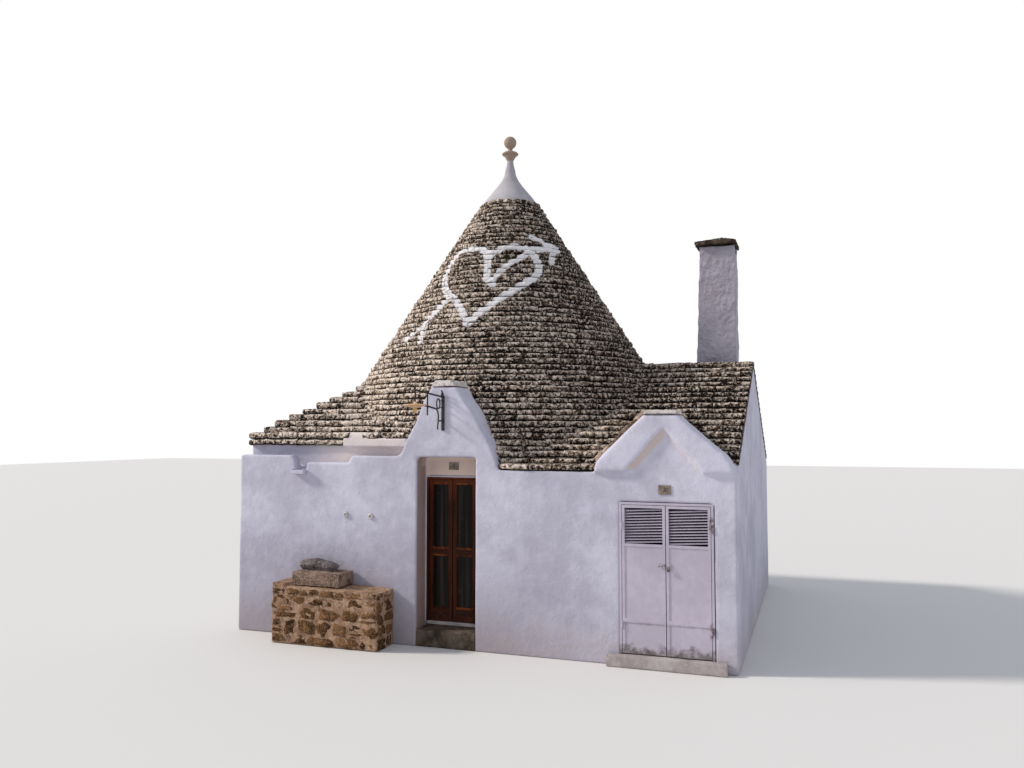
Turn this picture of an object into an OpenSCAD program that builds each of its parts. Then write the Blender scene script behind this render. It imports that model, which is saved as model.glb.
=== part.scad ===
// Trullo house: whitewashed masonry block under a dry-stone cone, with a store room beside it.
// Millimetres. X runs along the front wall, Y into the house, Z up.
// The origin is on the cone's axis, at the height of the lowest ground by the walls.

/* [Masonry block] */
// Height of the wall tops, which carry the roofs
wall_top = 2280; // [2050:10:2510]
// Distance from the eaves to the front and rear wall faces
front_margin = 185; // [150:5:300]
// Distance from the eaves to the left party face
left_margin = 35; // [20:5:200]
// Distance from the eaves to the right party face, beyond the store
store_margin = 965; // [940:5:1200]
// Side of the square room under the cone
room_side = 3600; // [3240:20:3900]
// Height of the room's floor
floor_top = 260; // [234:2:286]
// Height of the corner squinches
squinch_rise = 680; // [500:20:900]
// Thickness of the party wall beside the store
party_thick = 270; // [200:10:300]

/* [Cone roof] */
// Radius of the cone at the eaves
eaves_radius = 2915; // [2620:5:3210]
// Height of the eaves above the wall tops
eaves_rise = 380; // [340:10:420]
// Height of the point where the cone's slopes would meet, above the wall tops
cone_rise = 4920; // [4420:20:5420]
// Distance that the eaves slabs stand out from the wall under them
eaves_overhang = 65; // [40:5:90]
// Number of slab courses between the eaves and the cap
cone_courses = 48; // [44:1:54]
// Number of slab courses below the eaves, over the store side
skirt_courses = 5; // [4:1:6]
// Place of a course's outer face between its lower and its upper edge on the slope, as a share
face_share = 0.25; // [0.2:0.05:0.4]
// Distance from the slopes' meeting point down to the foot of the white cap
cap_drop = 680; // [610:10:750]
// Distance from the cap's foot down to the inner dome's crown
crown_cover = 520; // [460:10:650]
// Outward bulge of the inner dome at half height
dome_bulge = 150; // [80:10:200]
// Thickness of the inner dome's masonry at its foot
dome_thick = 450; // [380:10:500]
// Radius of the dome's crown hole, closed by a slab
dome_eye = 150; // [120:5:200]
// Number of corbelled courses in the inner dome
dome_courses = 22; // [14:1:28]

/* [Cap and pinnacle] */
// Distance that the white cap stands out over the highest slabs
cap_lip = 34; // [30:1:40]
// Height of the white cap
cap_rise = 600; // [540:10:660]
// Radius of the cap where the pinnacle stands on it
cap_top_radius = 88; // [80:1:96]
// Height of the pinnacle's tapered stem
stem_rise = 170; // [150:5:190]
// Radius of the stem at its narrowest
stem_radius = 52; // [46:1:58]
// Radius of the pinnacle's disc
disc_radius = 140; // [125:1:155]
// Radius of the pinnacle's ball
ball_radius = 106; // [95:1:118]

/* [Entrance portal] */
// Place of the recess's centre line to the right of the cone's axis
entrance_x = 230; // [200:10:260]
// Width of the recess
recess_width = 828; // [810:2:900]
// Width of the doorway behind it, flush with the recess's left side
doorway_width = 750; // [680:2:800]
// Height of the recess's soffit above the wall tops
recess_rise = 153; // [130:1:170]
// Depth of the recess in front of the door
recess_depth = 300; // [270:10:330]
// Distance of the doorway's soffit under the wall tops
doorway_drop = 110; // [90:5:130]
// Thickness of the masonry behind the recess, above the doorway
gable_back = 150; // [100:10:200]
// Height of the gable's top above the wall tops, under its cap stone
entrance_gable_rise = 1070; // [960:10:1180]
// Half of the gable's width at its foot
gable_half = 720; // [690:5:760]
// Thickness of the cap stone on the entrance gable
entrance_cap = 90; // [60:5:110]
// Distance of the ridge behind the gable under the gable's top
entrance_ridge_drop = 60; // [30:5:90]
// Number of slab courses on each slope behind the gable
saddle_courses = 3; // [3:1:4]

/* [Entrance door] */
// Height of the door's sill above the room's floor
sill_rise = 10; // [8:1:14]
// Width of the wooden frame's jambs and head
frame_width = 30; // [25:1:35]
// Distance of the leaves' outer faces behind the frame's outer face
leaf_inset = 20; // [14:1:26]
// Running gap round each door leaf
leaf_gap = 6; // [5.5:0.5:8]
// Running gap between two leaves where they meet
meeting_gap = 9; // [8.5:0.5:11]
// Thickness of a wooden leaf
leaf_thick = 44; // [38:1:50]
// Width of a leaf's stiles
stile_width = 50; // [45:1:60]
// Height of a leaf's top rail
top_rail = 60; // [50:1:70]
// Height of a leaf's middle rail
mid_rail = 100; // [80:1:110]
// Place of the middle rail's lower edge, as a share of the leaf's height
mid_rail_share = 0.46; // [0.40:0.01:0.55]
// Height of a leaf's bottom rail
bottom_rail = 175; // [150:5:200]
// Thickness of the panes
pane_thick = 6; // [4:1:8]
// Depth of the grooves that hold the panes
pane_groove = 12; // [8:1:14]

/* [Store portal] */
// Width of the store's doorway and room
store_width = 1110; // [1000:2:1130]
// Height of the store doorway's foot
store_sill = 140; // [126:2:154]
// Distance of the store doorway's soffit under the wall tops
store_door_drop = 355; // [320:5:390]
// Thickness of the store's front lintel
store_front_thick = 450; // [400:10:500]
// Rise of the store's vault
vault_rise = 350; // [315:5:385]
// Distance of the vault's crown under the wall tops
vault_cover = 180; // [150:5:210]
// Distance that the store's gable hood stands out from the wall
hood_reach = 60; // [40:5:90]
// Thickness of the store's gable behind the wall face
store_gable_thick = 300; // [250:10:350]
// Height of the store gable's top above the wall tops, under its cap stone
store_gable_rise = 690; // [620:10:760]
// Half of the store gable's width at its foot
store_half = 850; // [830:5:870]
// Height of the pointed niche under the hood
niche_rise = 520; // [460:10:560]
// Half of the niche's width at the wall tops
niche_half = 465; // [420:5:510]
// Thickness of the cap stone on the store's gable
store_cap = 60; // [50:5:80]
// Distance of the ridge behind the store's gable under the gable's top
store_ridge_drop = 40; // [30:5:70]
// Number of slab courses on each slope behind the store's gable
store_saddle_courses = 8; // [7:1:9]

/* [Store door] */
// Width of the steel frame's legs
steel_width = 28; // [24:1:32]
// Depth of the steel frame
steel_depth = 60; // [54:2:66]
// Thickness of a steel leaf
steel_leaf_thick = 34; // [30:1:38]
// Width of a steel leaf's edge tubes
steel_tube = 32; // [28:1:36]
// Thickness of a steel leaf's sheet
sheet_thick = 4; // [3:0.5:6]
// Height of a louvre panel
louvre_rise = 423; // [380:1:465]
// Number of slats in a louvre panel
slat_count = 12; // [9:1:14]
// Sag of the slats to the left, in degrees
slat_sag = 3; // [0:0.5:4]
// Height of the lower rail's underside above a leaf's foot
lower_rail_rise = 360; // [320:5:400]
// Height of the lower rail
lower_rail = 50; // [40:1:60]

/* [Store roof] */
// Height of the store roof's ridge above the wall tops
roof_rise = 1520; // [1370:10:1670]
// Number of slab courses on each slope
roof_courses = 19; // [17:1:22]
// Thickness of the slabs on top of the right party wall
wall_cover = 60; // [50:5:80]

/* [Chimney] */
// Distance of the chimney's centre line from the right party face
chimney_inset = 555; // [555:1:600]
// Place of the chimney behind the cone's axis
chimney_y = 625; // [560:5:690]
// Width of the chimney's head along the front
chimney_width = 570; // [520:10:570]
// Depth of the chimney's head
chimney_depth = 500; // [450:10:550]
// Widening of the chimney's left side down to the wall tops
chimney_batter = 100; // [60:5:110]
// Thickness of the walls of the chimney's head
chimney_wall = 140; // [110:5:160]
// Height of the chimney's masonry above the wall tops
chimney_rise = 3420; // [3080:10:3760]
// Height of the smoke outlets under the slab
outlet_height = 110; // [80:5:140]
// Thickness of the edges of the slab on the chimney
chimney_slab = 70; // [50:5:90]
// Overhang of the slab on its left side
slab_overhang = 60; // [40:5:80]

/* [Gutter and spout] */
// Thickness of the parapets
parapet_thick = 150; // [130:5:170]
// Height of the parapet beside the entrance gable, above the wall tops
parapet_rise = 165; // [158:1:200]
// Drop of the parapet beside the spout
parapet_step = 95; // [60:5:110]
// Distance of the spout's centre to the left of the recess's centre
spout_offset = 2185; // [2100:5:2260]
// Width of the gap over the spout
spout_gap = 170; // [150:5:180]
// Depth of the spout's floor under the wall tops
spout_drop = 40; // [30:5:60]
// Width of the spout stone
spout_width = 200; // [190:5:230]
// Distance that the spout stands out from the wall
spout_reach = 85; // [70:5:100]

/* [Bench] */
// Distance of the bench's right end to the left of the recess's centre
bench_offset = 730; // [700:5:760]
// Length of the bench
bench_length = 1560; // [1400:20:1700]
// Depth of the bench
bench_depth = 470; // [420:10:520]
// Height of the bench's right end above the lowest ground
bench_height = 722; // [650:2:790]
// Height of the stone block on the bench
block_rise = 186; // [160:2:205]
// Length of the stone block
block_length = 720; // [650:5:790]
// Depth of the stone block
block_depth = 375; // [340:5:410]

/* [Lamp] */
// Reach of the lamp's arm from the wall
arm_reach = 830; // [750:5:910]
// Distance of the arm's wall end under the entrance gable's top
arm_drop = 126; // [110:2:140]
// Radius of the lamp's shade
shade_radius = 143; // [130:1:156]

/* [Hidden] */
$fn = 200;

// Colours of the finishes
lime = [0.86, 0.85, 0.88];
slab = [0.42, 0.38, 0.34];
limestone = [0.68, 0.62, 0.54];
oak = [0.36, 0.14, 0.07];
pane = [0.30, 0.33, 0.35];
steel_paint = [0.80, 0.79, 0.82];
iron = [0.10, 0.10, 0.11];
cream = [0.85, 0.76, 0.60];

// Wall lines
front_reach = eaves_radius + front_margin;
rear_reach = front_reach;
room_half = room_side / 2;
front_y = -front_reach;
left_x = -eaves_radius - left_margin;
right_x = eaves_radius + store_margin;
recess_left = entrance_x - recess_width / 2;
recess_right = entrance_x + recess_width / 2;
doorway_left = recess_left;
doorway_right = doorway_left + doorway_width;
door_y = front_y + recess_depth;
store_right = right_x - party_thick;
store_left = store_right - store_width;
store_x = (store_left + store_right) / 2;
gable_right = entrance_x + gable_half;
store_back_y = front_y + store_gable_thick;

// Heights
eaves_height = wall_top + eaves_rise;
apex_height = wall_top + cone_rise;
cap_foot = apex_height - cap_drop;
recess_top = wall_top + recess_rise;
doorway_top = wall_top - doorway_drop;
entrance_gable_top = wall_top + entrance_gable_rise;
store_door_top = wall_top - store_door_drop;
store_gable_top = wall_top + store_gable_rise;
parapet_high = wall_top + parapet_rise;
parapet_low = parapet_high - parapet_step;
roof_ridge = wall_top + roof_rise;
chimney_top = wall_top + chimney_rise;

// Radius of the stone cone at a height
cone_spread = eaves_radius / (apex_height - eaves_height);
function cone_radius(z) = cone_spread * (apex_height - z);
drum_radius = eaves_radius - eaves_overhang;
frame_depth = leaf_inset + leaf_thick;

// Inner dome: a corbelled ogive between the wall tops and the crown
crown_slab = 150;
crown_side = 75;
dome_top = cap_foot - crown_cover;
dome_rise = dome_top - wall_top;
dome_foot_out = room_half + dome_thick;
dome_crown_out = cone_radius(dome_top + crown_slab) - crown_side;
function dome_radius(t) = room_half + (dome_eye - room_half) * t + dome_bulge * sin(180 * t);

// Levels of the courses between two heights. Their heights waver, as those of dry-laid slabs do
course_waver = 0.07;
function course_levels(z0, z1, courses) = [for (i = [0:courses])
  z0 + (z1 - z0) * (i + course_waver * sin(360 * round(0.38 * courses) * i / courses)) / courses];

// Outline of a coursed slope from its foot to its top: pairs of a reach from the slope's axis or
// ridge line and a level
function coursed_slope(levels, foot_reach, top_reach) =
  let (last = len(levels) - 1, rise = levels[last] - levels[0])
  [for (i = [0:last - 1], k = [0, 1])
    let (z = levels[i] + face_share * (levels[i + 1] - levels[i]))
    [foot_reach + (top_reach - foot_reach) * (z - levels[0]) / rise, levels[i + k]]];

skirt_levels = course_levels(wall_top, eaves_height, skirt_courses);
cone_levels = course_levels(eaves_height, cap_foot, cone_courses);
roof_levels = course_levels(wall_top, roof_ridge, roof_courses);

// Courses at which the stone cone is divided
cone_split_low = round(0.32 * cone_courses);
cone_split_high = round(0.66 * cone_courses);

// Outline of the entrance gable above the parapet: shares of the half width and of the rise
gable_profile = [
  [-0.97, 0.01], [-0.91, 0.03], [-0.87, 0.08], [-0.835, 0.16], [-0.79, 0.24], [-0.71, 0.35],
  [-0.61, 0.49], [-0.545, 0.61], [-0.485, 0.73], [-0.43, 0.82], [-0.365, 0.91], [-0.285, 1],
  [0.188, 1], [0.25, 0.92], [0.305, 0.84], [0.36, 0.775], [0.43, 0.71], [0.51, 0.61], [0.565, 0.54],
  [0.635, 0.43], [0.70, 0.35], [0.765, 0.27], [0.83, 0.17], [0.88, 0.08], [0.93, 0], [0.965, -0.09]
];
entrance_outline = concat(
  [[-gable_half, wall_top], [-gable_half, parapet_high]],
  [for (p = gable_profile) [p[0] * gable_half, parapet_high + p[1] * (entrance_gable_top - parapet_high)]],
  [[gable_half, wall_top]]);

// Outline of the store's gable: shares of its half width and of its rise
store_profile = [
  [-1, 0], [-0.99, 0.10], [-0.97, 0.18], [-0.86, 0.33], [-0.695, 0.52], [-0.595, 0.64], [-0.495, 0.76],
  [-0.39, 0.88], [-0.282, 1], [0.194, 1], [0.288, 0.88], [0.388, 0.77], [0.506, 0.64], [0.624, 0.51],
  [0.724, 0.41], [0.824, 0.31], [0.894, 0.20], [0.927, 0.10], [0.941, 0]
];
store_outline = [for (p = store_profile) [p[0] * store_half, wall_top + p[1] * store_gable_rise]];
niche_x = -0.014 * store_half;
niche_foot = 10;
niche_reach = niche_half * (niche_rise + niche_foot) / niche_rise;
store_niche = [[niche_x - niche_reach, wall_top - niche_foot], [niche_x, wall_top + niche_rise],
               [niche_x + niche_reach, wall_top - niche_foot]];

// Height of the store roof's surface at a place along Y
function roof_height(y) = y < 0 ? roof_ridge + roof_rise * y / front_reach
                                : roof_ridge - roof_rise * y / rear_reach;

// Shapes that several pieces are cut to

// A block between two places on each axis
module slab_box(x0, x1, y0, y1, z0, z1) {
  translate([x0, y0, z0]) cube([x1 - x0, y1 - y0, z1 - z0]);
}

// An outline of the front, given from the centre line at x, run back from y0 to y1
module front_outline(x, y0, y1, points) {
  translate([x, y1, 0]) rotate([90, 0, 0]) linear_extrude(y1 - y0) polygon(points);
}

// Round courses between the first and the last of some levels, stepped back along the cone's slope
module round_courses(levels) {
  foot = levels[0];
  top = levels[len(levels) - 1];
  rotate_extrude() polygon(concat(
    [[0, foot]], coursed_slope(levels, cone_radius(foot), cone_radius(top)), [[0, top]]));
}

// The stone cone's outer form from the wall tops up
module cone_form() {
  round_courses(skirt_levels);
  round_courses(cone_levels);
}

// A ring of the stone cone round the inner dome, from one course to another
module cone_ring(first, last) {
  difference() {
    round_courses([for (i = [first:last]) cone_levels[i]]);
    dome_form();
    front_outline(entrance_x, front_y, door_y + gable_back, entrance_outline);
  }
}

// The inner dome's outer form, closed by its crown slab
module dome_form() {
  translate([0, 0, wall_top]) cylinder(h = dome_rise, r1 = dome_foot_out, r2 = dome_crown_out);
  translate([0, 0, dome_top]) cylinder(h = crown_slab, r = dome_crown_out);
}

// Outline of two coursed slopes that meet in a ridge
function coursed_pair(levels, left_reach, right_reach, ridge_offset) =
  let (left = coursed_slope(levels, left_reach, -ridge_offset),
       right = coursed_slope(levels, right_reach, ridge_offset))
  concat([for (p = left) [-p[0], p[1]]], [for (i = [len(right) - 1:-1:0]) right[i]]);

// The store roof's form: two slopes that meet in a ridge along X
module store_roof_form(x0, x1) {
  translate([x0, 0, 0]) rotate([90, 0, 90]) linear_extrude(x1 - x0)
    polygon(coursed_pair(roof_levels, front_reach, rear_reach, 0));
}

// The party wall beside the store, whose top carries the roof's slabs
module party_wall_form() {
  slope_run = wall_cover * rear_reach / roof_rise;
  translate([store_right, 0, 0]) rotate([90, 0, 90]) linear_extrude(party_thick)
    polygon([[front_y, 0], [rear_reach, 0], [rear_reach, wall_top], [rear_reach - slope_run, wall_top],
             [0, roof_ridge - wall_cover], [store_back_y, roof_height(store_back_y) - wall_cover],
             [store_back_y, wall_top], [front_y, wall_top]]);
}

// The chimney's outer form, which widens downwards
chimney_x = right_x - chimney_inset;
module chimney_form() {
  depth_batter = 50;
  half_x = chimney_width / 2;
  half_y = chimney_depth / 2;
  intersection() {
    front_outline(chimney_x, chimney_y - chimney_depth, chimney_y + chimney_depth,
      [[-half_x - chimney_batter, wall_top], [half_x, wall_top],
       [half_x, chimney_top], [-half_x, chimney_top]]);
    translate([chimney_x - chimney_width, chimney_y, 0]) rotate([90, 0, 90])
      linear_extrude(2 * chimney_width) polygon([
        [-half_y - depth_batter, wall_top], [half_y + depth_batter, wall_top],
        [half_y, chimney_top], [-half_y, chimney_top]]);
  }
}

// Walls and floors

module floors() {
  color(limestone) {
    slab_box(-room_half, room_half, -room_half, room_half, 0, floor_top);
    slab_box(doorway_left, doorway_right, door_y + frame_depth, -room_half, 0, floor_top);
    slab_box(store_left, store_right, front_y + steel_depth, room_half, 0, store_sill);
  }
}

spout_x = entrance_x - spout_offset;

// Front wall left of the doorway, with the notch that leads rain water to the spout
module front_wall_left() {
  notch_back = -drum_radius;
  color(lime) difference() {
    slab_box(left_x, doorway_left, front_y, -room_half, 0, wall_top);
    slab_box(spout_x - spout_gap / 2, spout_x + spout_gap / 2, front_y - 1, notch_back,
             wall_top - spout_drop, wall_top + 1);
  }
}

// Front wall between the portals, with the rebate behind the recess
module front_wall_middle() {
  color(lime) linear_extrude(wall_top) polygon([
    [recess_right, front_y], [store_left, front_y], [store_left, -room_half],
    [doorway_right, -room_half], [doorway_right, door_y], [recess_right, door_y]]);
}

module lintels() {
  color(lime) {
    slab_box(doorway_left, doorway_right, door_y, -room_half, doorway_top, wall_top);
    slab_box(store_left, store_right, front_y, front_y + store_front_thick, store_door_top, wall_top);
  }
}

module left_party_wall() {
  color(lime) slab_box(left_x, -room_half, -room_half, room_half, 0, wall_top);
}

module dividing_wall() {
  color(lime) slab_box(room_half, store_left, -room_half, room_half, 0, wall_top);
}

module right_party_wall() { color(lime) party_wall_form(); }

module rear_wall() {
  color(lime) slab_box(left_x, store_right, room_half, rear_reach, 0, wall_top);
}

// Corbelled corners that turn the square room into the dome's circle
module corner_squinches() {
  corner_reach = 0.367 * room_half;
  squinch_foot = wall_top - squinch_rise;
  color(lime) for (sx = [-1, 1], sy = [-1, 1]) scale([sx, sy, 1]) difference() {
    slab_box(corner_reach, room_half, corner_reach, room_half, squinch_foot, wall_top);
    translate([0, 0, squinch_foot])
      cylinder(h = wall_top - squinch_foot, r1 = room_half * sqrt(2), r2 = room_half);
  }
}

// Roof of the round room

// Wall under the eaves: straight beside the gutters, round over the store
module eaves_wall() {
  color(lime) difference() {
    union() {
      translate([0, 0, wall_top]) cylinder(h = eaves_height - wall_top, r = drum_radius);
      slab_box(left_x, gable_right, -drum_radius, drum_radius, wall_top, eaves_height);
    }
    dome_form();
    front_outline(entrance_x, front_y, door_y + gable_back, entrance_outline);
  }
}

module inner_dome() {
  course = dome_rise / dome_courses;
  steps = [for (i = [0:dome_courses - 1], k = [0, 1])
    [dome_radius(i / dome_courses), wall_top + (i + k) * course]];
  color(lime) rotate_extrude() polygon(concat(
    steps,
    [[0, dome_top], [0, dome_top + crown_slab], [dome_crown_out, dome_top + crown_slab],
     [dome_crown_out, dome_top], [dome_foot_out, wall_top]]));
}

module roof_cone_lower() { color(slab) cone_ring(0, cone_split_low); }

module roof_cone_middle() { color(slab) cone_ring(cone_split_low, cone_split_high); }

module roof_cone_upper() { color(slab) cone_ring(cone_split_high, cone_courses); }

// Slab courses that fill a corner between the straight eaves and the cone
module corner_roof() {
  corner_rise = 0.207 * (cap_foot - eaves_height);
  levels = course_levels(eaves_height, eaves_height + corner_rise, round(0.19 * cone_courses));
  reach = 0.05 * eaves_radius;
  hip = cone_radius(eaves_height + corner_rise) / sqrt(2);
  // Both eaves lines and both inner ends run up to the hip
  edge_x = coursed_slope(levels, left_x, -hip);
  edge_y = coursed_slope(levels, -eaves_radius, -hip);
  near = coursed_slope(levels, -reach, -hip);
  difference() {
    for (i = [0:len(levels) - 2]) translate([0, 0, eaves_height]) linear_extrude(levels[i + 1] - eaves_height)
      polygon([[edge_x[2 * i][0], edge_y[2 * i][0]], [near[2 * i][0], edge_y[2 * i][0]],
               [edge_x[2 * i][0], near[2 * i][0]]]);
    cone_form();
    front_outline(entrance_x, front_y, door_y + gable_back, entrance_outline);
  }
}

// Lower slab courses that spread over the store side, where no parapet stands, and over the corners
module roof_skirt() {
  color(slab) {
    difference() {
      round_courses(skirt_levels);
      translate([0, 0, wall_top]) cylinder(h = eaves_height - wall_top, r = drum_radius);
      slab_box(left_x - front_reach, gable_right, front_y - 100, rear_reach + 100, wall_top, eaves_height);
      chimney_form();
    }
    corner_roof();
    mirror([0, 1, 0]) corner_roof();
  }
}

module cone_cap() {
  cap_arc = 14;
  slope_end = 0.72;
  cap_radius = cone_radius(cap_foot) + cap_lip;
  color(lime) translate([0, 0, cap_foot]) rotate_extrude() polygon(concat(
    [[0, 0]],
    [for (i = [0:cap_arc]) let (t = i / cap_arc)
      [cap_top_radius + (cap_radius - cap_top_radius) * pow(1 - t, 1 + slope_end * t), cap_rise * t]],
    [[0, cap_rise]]));
}

// Stem, disc and ball of the pinnacle
module pinnacle() {
  disc_foot = 0.8 * disc_radius;
  disc_rim = 15;
  disc_top = 30;
  neck_radius = 40;
  neck_rise = 60;
  ball_cut = sqrt(ball_radius * ball_radius - neck_radius * neck_radius);
  disc_z = stem_rise + disc_foot;
  neck_z = disc_z + disc_rim + disc_top;
  color(lime) translate([0, 0, cap_foot + cap_rise]) {
    rotate_extrude() polygon([
      [0, 0], [cap_top_radius, 0], [0.74 * cap_top_radius, stem_rise / 2], [stem_radius, stem_rise],
      [0.68 * disc_radius, disc_z - 35], [disc_radius, disc_z], [disc_radius, disc_z + disc_rim],
      [0.8 * disc_radius, neck_z - 8], [neck_radius * 1.6, neck_z], [neck_radius, neck_z + 14],
      [neck_radius, neck_z + neck_rise], [0, neck_z + neck_rise]]);
    translate([0, 0, neck_z + neck_rise + ball_cut]) sphere(r = ball_radius);
  }
}

// Gutter edge

module parapets() {
  step_x = entrance_x - 1410;
  foot_x = entrance_x - gable_half;
  gap_left = spout_x - spout_gap / 2;
  gap_right = spout_x + spout_gap / 2;
  color(lime) {
    front_outline(0, front_y, front_y + parapet_thick,
      [[left_x, wall_top], [left_x, parapet_high], [gap_left - 95, parapet_high],
       [gap_left - 60, parapet_high - 15], [gap_left - 25, parapet_high - 50],
       [gap_left - 5, parapet_high - 100], [gap_left, wall_top]]);
    front_outline(0, front_y, front_y + parapet_thick,
      [[gap_right, wall_top], [gap_right, parapet_low], [step_x - 30, parapet_low],
       [step_x + 30, parapet_high], [foot_x, parapet_high], [foot_x, wall_top]]);
    slab_box(left_x, gable_right, rear_reach - parapet_thick, rear_reach, wall_top, parapet_low);
  }
}

module rain_spout() {
  stone_thick = 55;
  lip_rise = 20;
  floor_level = wall_top - spout_drop;
  color(limestone) difference() {
    slab_box(spout_x - spout_width / 2, spout_x + spout_width / 2,
             front_y - spout_reach, front_y, floor_level - stone_thick, floor_level + lip_rise);
    slab_box(spout_x - spout_gap / 2, spout_x + spout_gap / 2,
             front_y - spout_reach - 1, front_y + 1, floor_level, floor_level + lip_rise + 1);
  }
}

// Gables and the roofs behind them

module entrance_gable() {
  color(lime) difference() {
    front_outline(entrance_x, front_y, door_y + gable_back, entrance_outline);
    slab_box(recess_left, recess_right, front_y - 1, door_y, wall_top - 1, recess_top);
  }
}

module store_gable() {
  color(lime) {
    front_outline(store_x, front_y, store_back_y, store_outline);
    difference() {
      front_outline(store_x, front_y - hood_reach, front_y, store_outline);
      front_outline(store_x, front_y - hood_reach - 1, front_y + 1, store_niche);
    }
  }
}

module gable_caps() {
  lip = 15;
  color(lime) {
    front_outline(entrance_x, front_y - lip, door_y + gable_back,
      [[-0.30 * gable_half, entrance_gable_top], [-0.22 * gable_half, entrance_gable_top + entrance_cap],
       [0.13 * gable_half, entrance_gable_top + entrance_cap], [0.20 * gable_half, entrance_gable_top]]);
    front_outline(store_x, front_y - hood_reach - lip, store_back_y,
      [[-0.30 * store_half, store_gable_top], [-0.265 * store_half, store_gable_top + store_cap],
       [0.182 * store_half, store_gable_top + store_cap], [0.212 * store_half, store_gable_top]]);
  }
}

// Small roofs that run back from the gables into the cone and into the store roof
module saddle_roofs() {
  entrance_ridge = entrance_gable_top - entrance_ridge_drop;
  entrance_eaves = entrance_ridge - 230;
  entrance_spread = 0.27 * gable_half;
  store_eaves = wall_top + 50;
  store_spread = 0.87 * store_half;
  store_ridge = store_gable_top - store_ridge_drop;
  entrance_run = 1300;
  store_run = 2400;
  ridge_offset = -30;
  color(slab) {
    difference() {
      front_outline(entrance_x, door_y + gable_back, door_y + gable_back + entrance_run,
        coursed_pair(course_levels(entrance_eaves, entrance_ridge, saddle_courses),
                     entrance_spread, entrance_spread, ridge_offset));
      cone_form();
      translate([0, 0, wall_top]) cylinder(h = eaves_height - wall_top, r = cone_radius(wall_top));
      slab_box(left_x, gable_right, -drum_radius, 0, wall_top, eaves_height);
      corner_roof();
    }
    difference() {
      front_outline(store_x, store_back_y, store_back_y + store_run,
        coursed_pair(course_levels(store_eaves, store_ridge, store_saddle_courses),
                     store_spread, store_spread, ridge_offset));
      store_roof_form(gable_right, right_x);
      cone_form();
    }
  }
}

module store_roof() {
  color(slab) difference() {
    store_roof_form(gable_right, right_x);
    cone_form();
    chimney_form();
    party_wall_form();
    slab_box(store_x + store_outline[0][0], right_x + 1, front_y - 1, store_back_y, wall_top - 1, roof_ridge);
  }
}

// Barrel vault over the store, with a segmental soffit
module store_vault() {
  half = store_width / 2;
  vault_spring = wall_top - vault_cover - vault_rise;
  vault_radius = (half * half + vault_rise * vault_rise) / (2 * vault_rise);
  vault_front = front_y + store_front_thick;
  color(lime) difference() {
    slab_box(store_left, store_right, vault_front, room_half, vault_spring, wall_top);
    translate([store_x, room_half + 1, vault_spring + vault_rise - vault_radius])
      rotate([90, 0, 0]) cylinder(h = room_half - vault_front + 2, r = vault_radius);
  }
}

// Chimney

module chimney_stack() {
  color(lime) difference() {
    chimney_form();
    slab_box(chimney_x - chimney_width / 2 + chimney_wall, chimney_x + chimney_width / 2 - chimney_wall,
             chimney_y - chimney_depth / 2 + chimney_wall, chimney_y + chimney_depth / 2 - chimney_wall,
             wall_top - 1, chimney_top + 1);
    slab_box(chimney_x - chimney_width, chimney_x + chimney_width,
             chimney_y - chimney_depth / 2 + chimney_wall, chimney_y + chimney_depth / 2 - chimney_wall,
             chimney_top - outlet_height, chimney_top + 1);
  }
}

// Rough slab over the chimney, with a low ridge
module chimney_cap() {
  right_overhang = 20;
  depth_overhang = 90;
  ridge = 40;
  half_y = chimney_depth / 2 + depth_overhang;
  color(slab) front_outline(chimney_x, chimney_y - half_y, chimney_y + half_y,
    [[-chimney_width / 2 - slab_overhang, chimney_top], [chimney_width / 2 + right_overhang, chimney_top],
     [chimney_width / 2 + right_overhang, chimney_top + chimney_slab],
     [0.15 * chimney_width, chimney_top + chimney_slab + ridge],
     [-chimney_width / 2 - slab_overhang, chimney_top + chimney_slab]]);
}

threshold_top = floor_top + sill_rise;

// Step and sill of the entrance, and step of the store
module steps() {
  outer_step = floor_top - 45;
  step_reach = 110;
  step_side = 150;
  color(limestone) {
    slab_box(recess_left, recess_right, front_y, door_y, 0, outer_step);
    slab_box(doorway_left, doorway_right, door_y, door_y + frame_depth, 0, threshold_top);
    slab_box(store_left - step_side, store_right + step_side, front_y - step_reach, front_y, 0, store_sill);
    slab_box(store_left, store_right, front_y, front_y + steel_depth, 0, store_sill);
  }
}

// Wooden entrance door

leaf_width = (doorway_width - 2 * frame_width - 2 * leaf_gap - meeting_gap) / 2;
leaf_foot = threshold_top + leaf_gap;
leaf_head = doorway_top - frame_width - leaf_gap;
mid_rail_height = leaf_foot + mid_rail_share * (leaf_head - leaf_foot);
leaf_y = door_y + leaf_inset;
left_leaf_x = doorway_left + frame_width + leaf_gap;
right_leaf_x = left_leaf_x + leaf_width + meeting_gap;

// Lift-off hinges: a knuckle on the frame carries a knuckle on the leaf
hinge_radius = 8;
hinge_length = 90;
hinge_slip = 0.3;
hinge_lift = hinge_radius + 0.5;
entrance_hinges = [for (share = [0.09, 0.49, 0.90]) leaf_foot + share * (leaf_head - leaf_foot)];
steel_foot = store_sill + leaf_gap + 4;
steel_head = store_door_top - steel_width - leaf_gap;
store_hinges = [for (share = [0.19, 0.86]) steel_foot + share * (steel_head - steel_foot)];

// Half of a hinge: a knuckle at [x, y] and a flap of the given reach on the face that lies behind it
module hinge_half(x, y, side, reach, z) {
  half = (hinge_length - hinge_slip) / 2;
  flap_thick = 3;
  translate([x, y, z]) cylinder(h = half, r = hinge_radius, $fn = 32);
  slab_box(min(x, x + reach), max(x, x + reach),
           min(y + side * hinge_lift, y + side * (hinge_lift - flap_thick)),
           max(y + side * hinge_lift, y + side * (hinge_lift - flap_thick)), z, z + half);
}

// Frame's halves of a row of hinges: side is the way from the knuckle to the face along Y
module frame_hinges(x, y, side, reach, heights) {
  for (z = heights) hinge_half(x, y, side, reach, z - hinge_length / 2);
}

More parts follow.
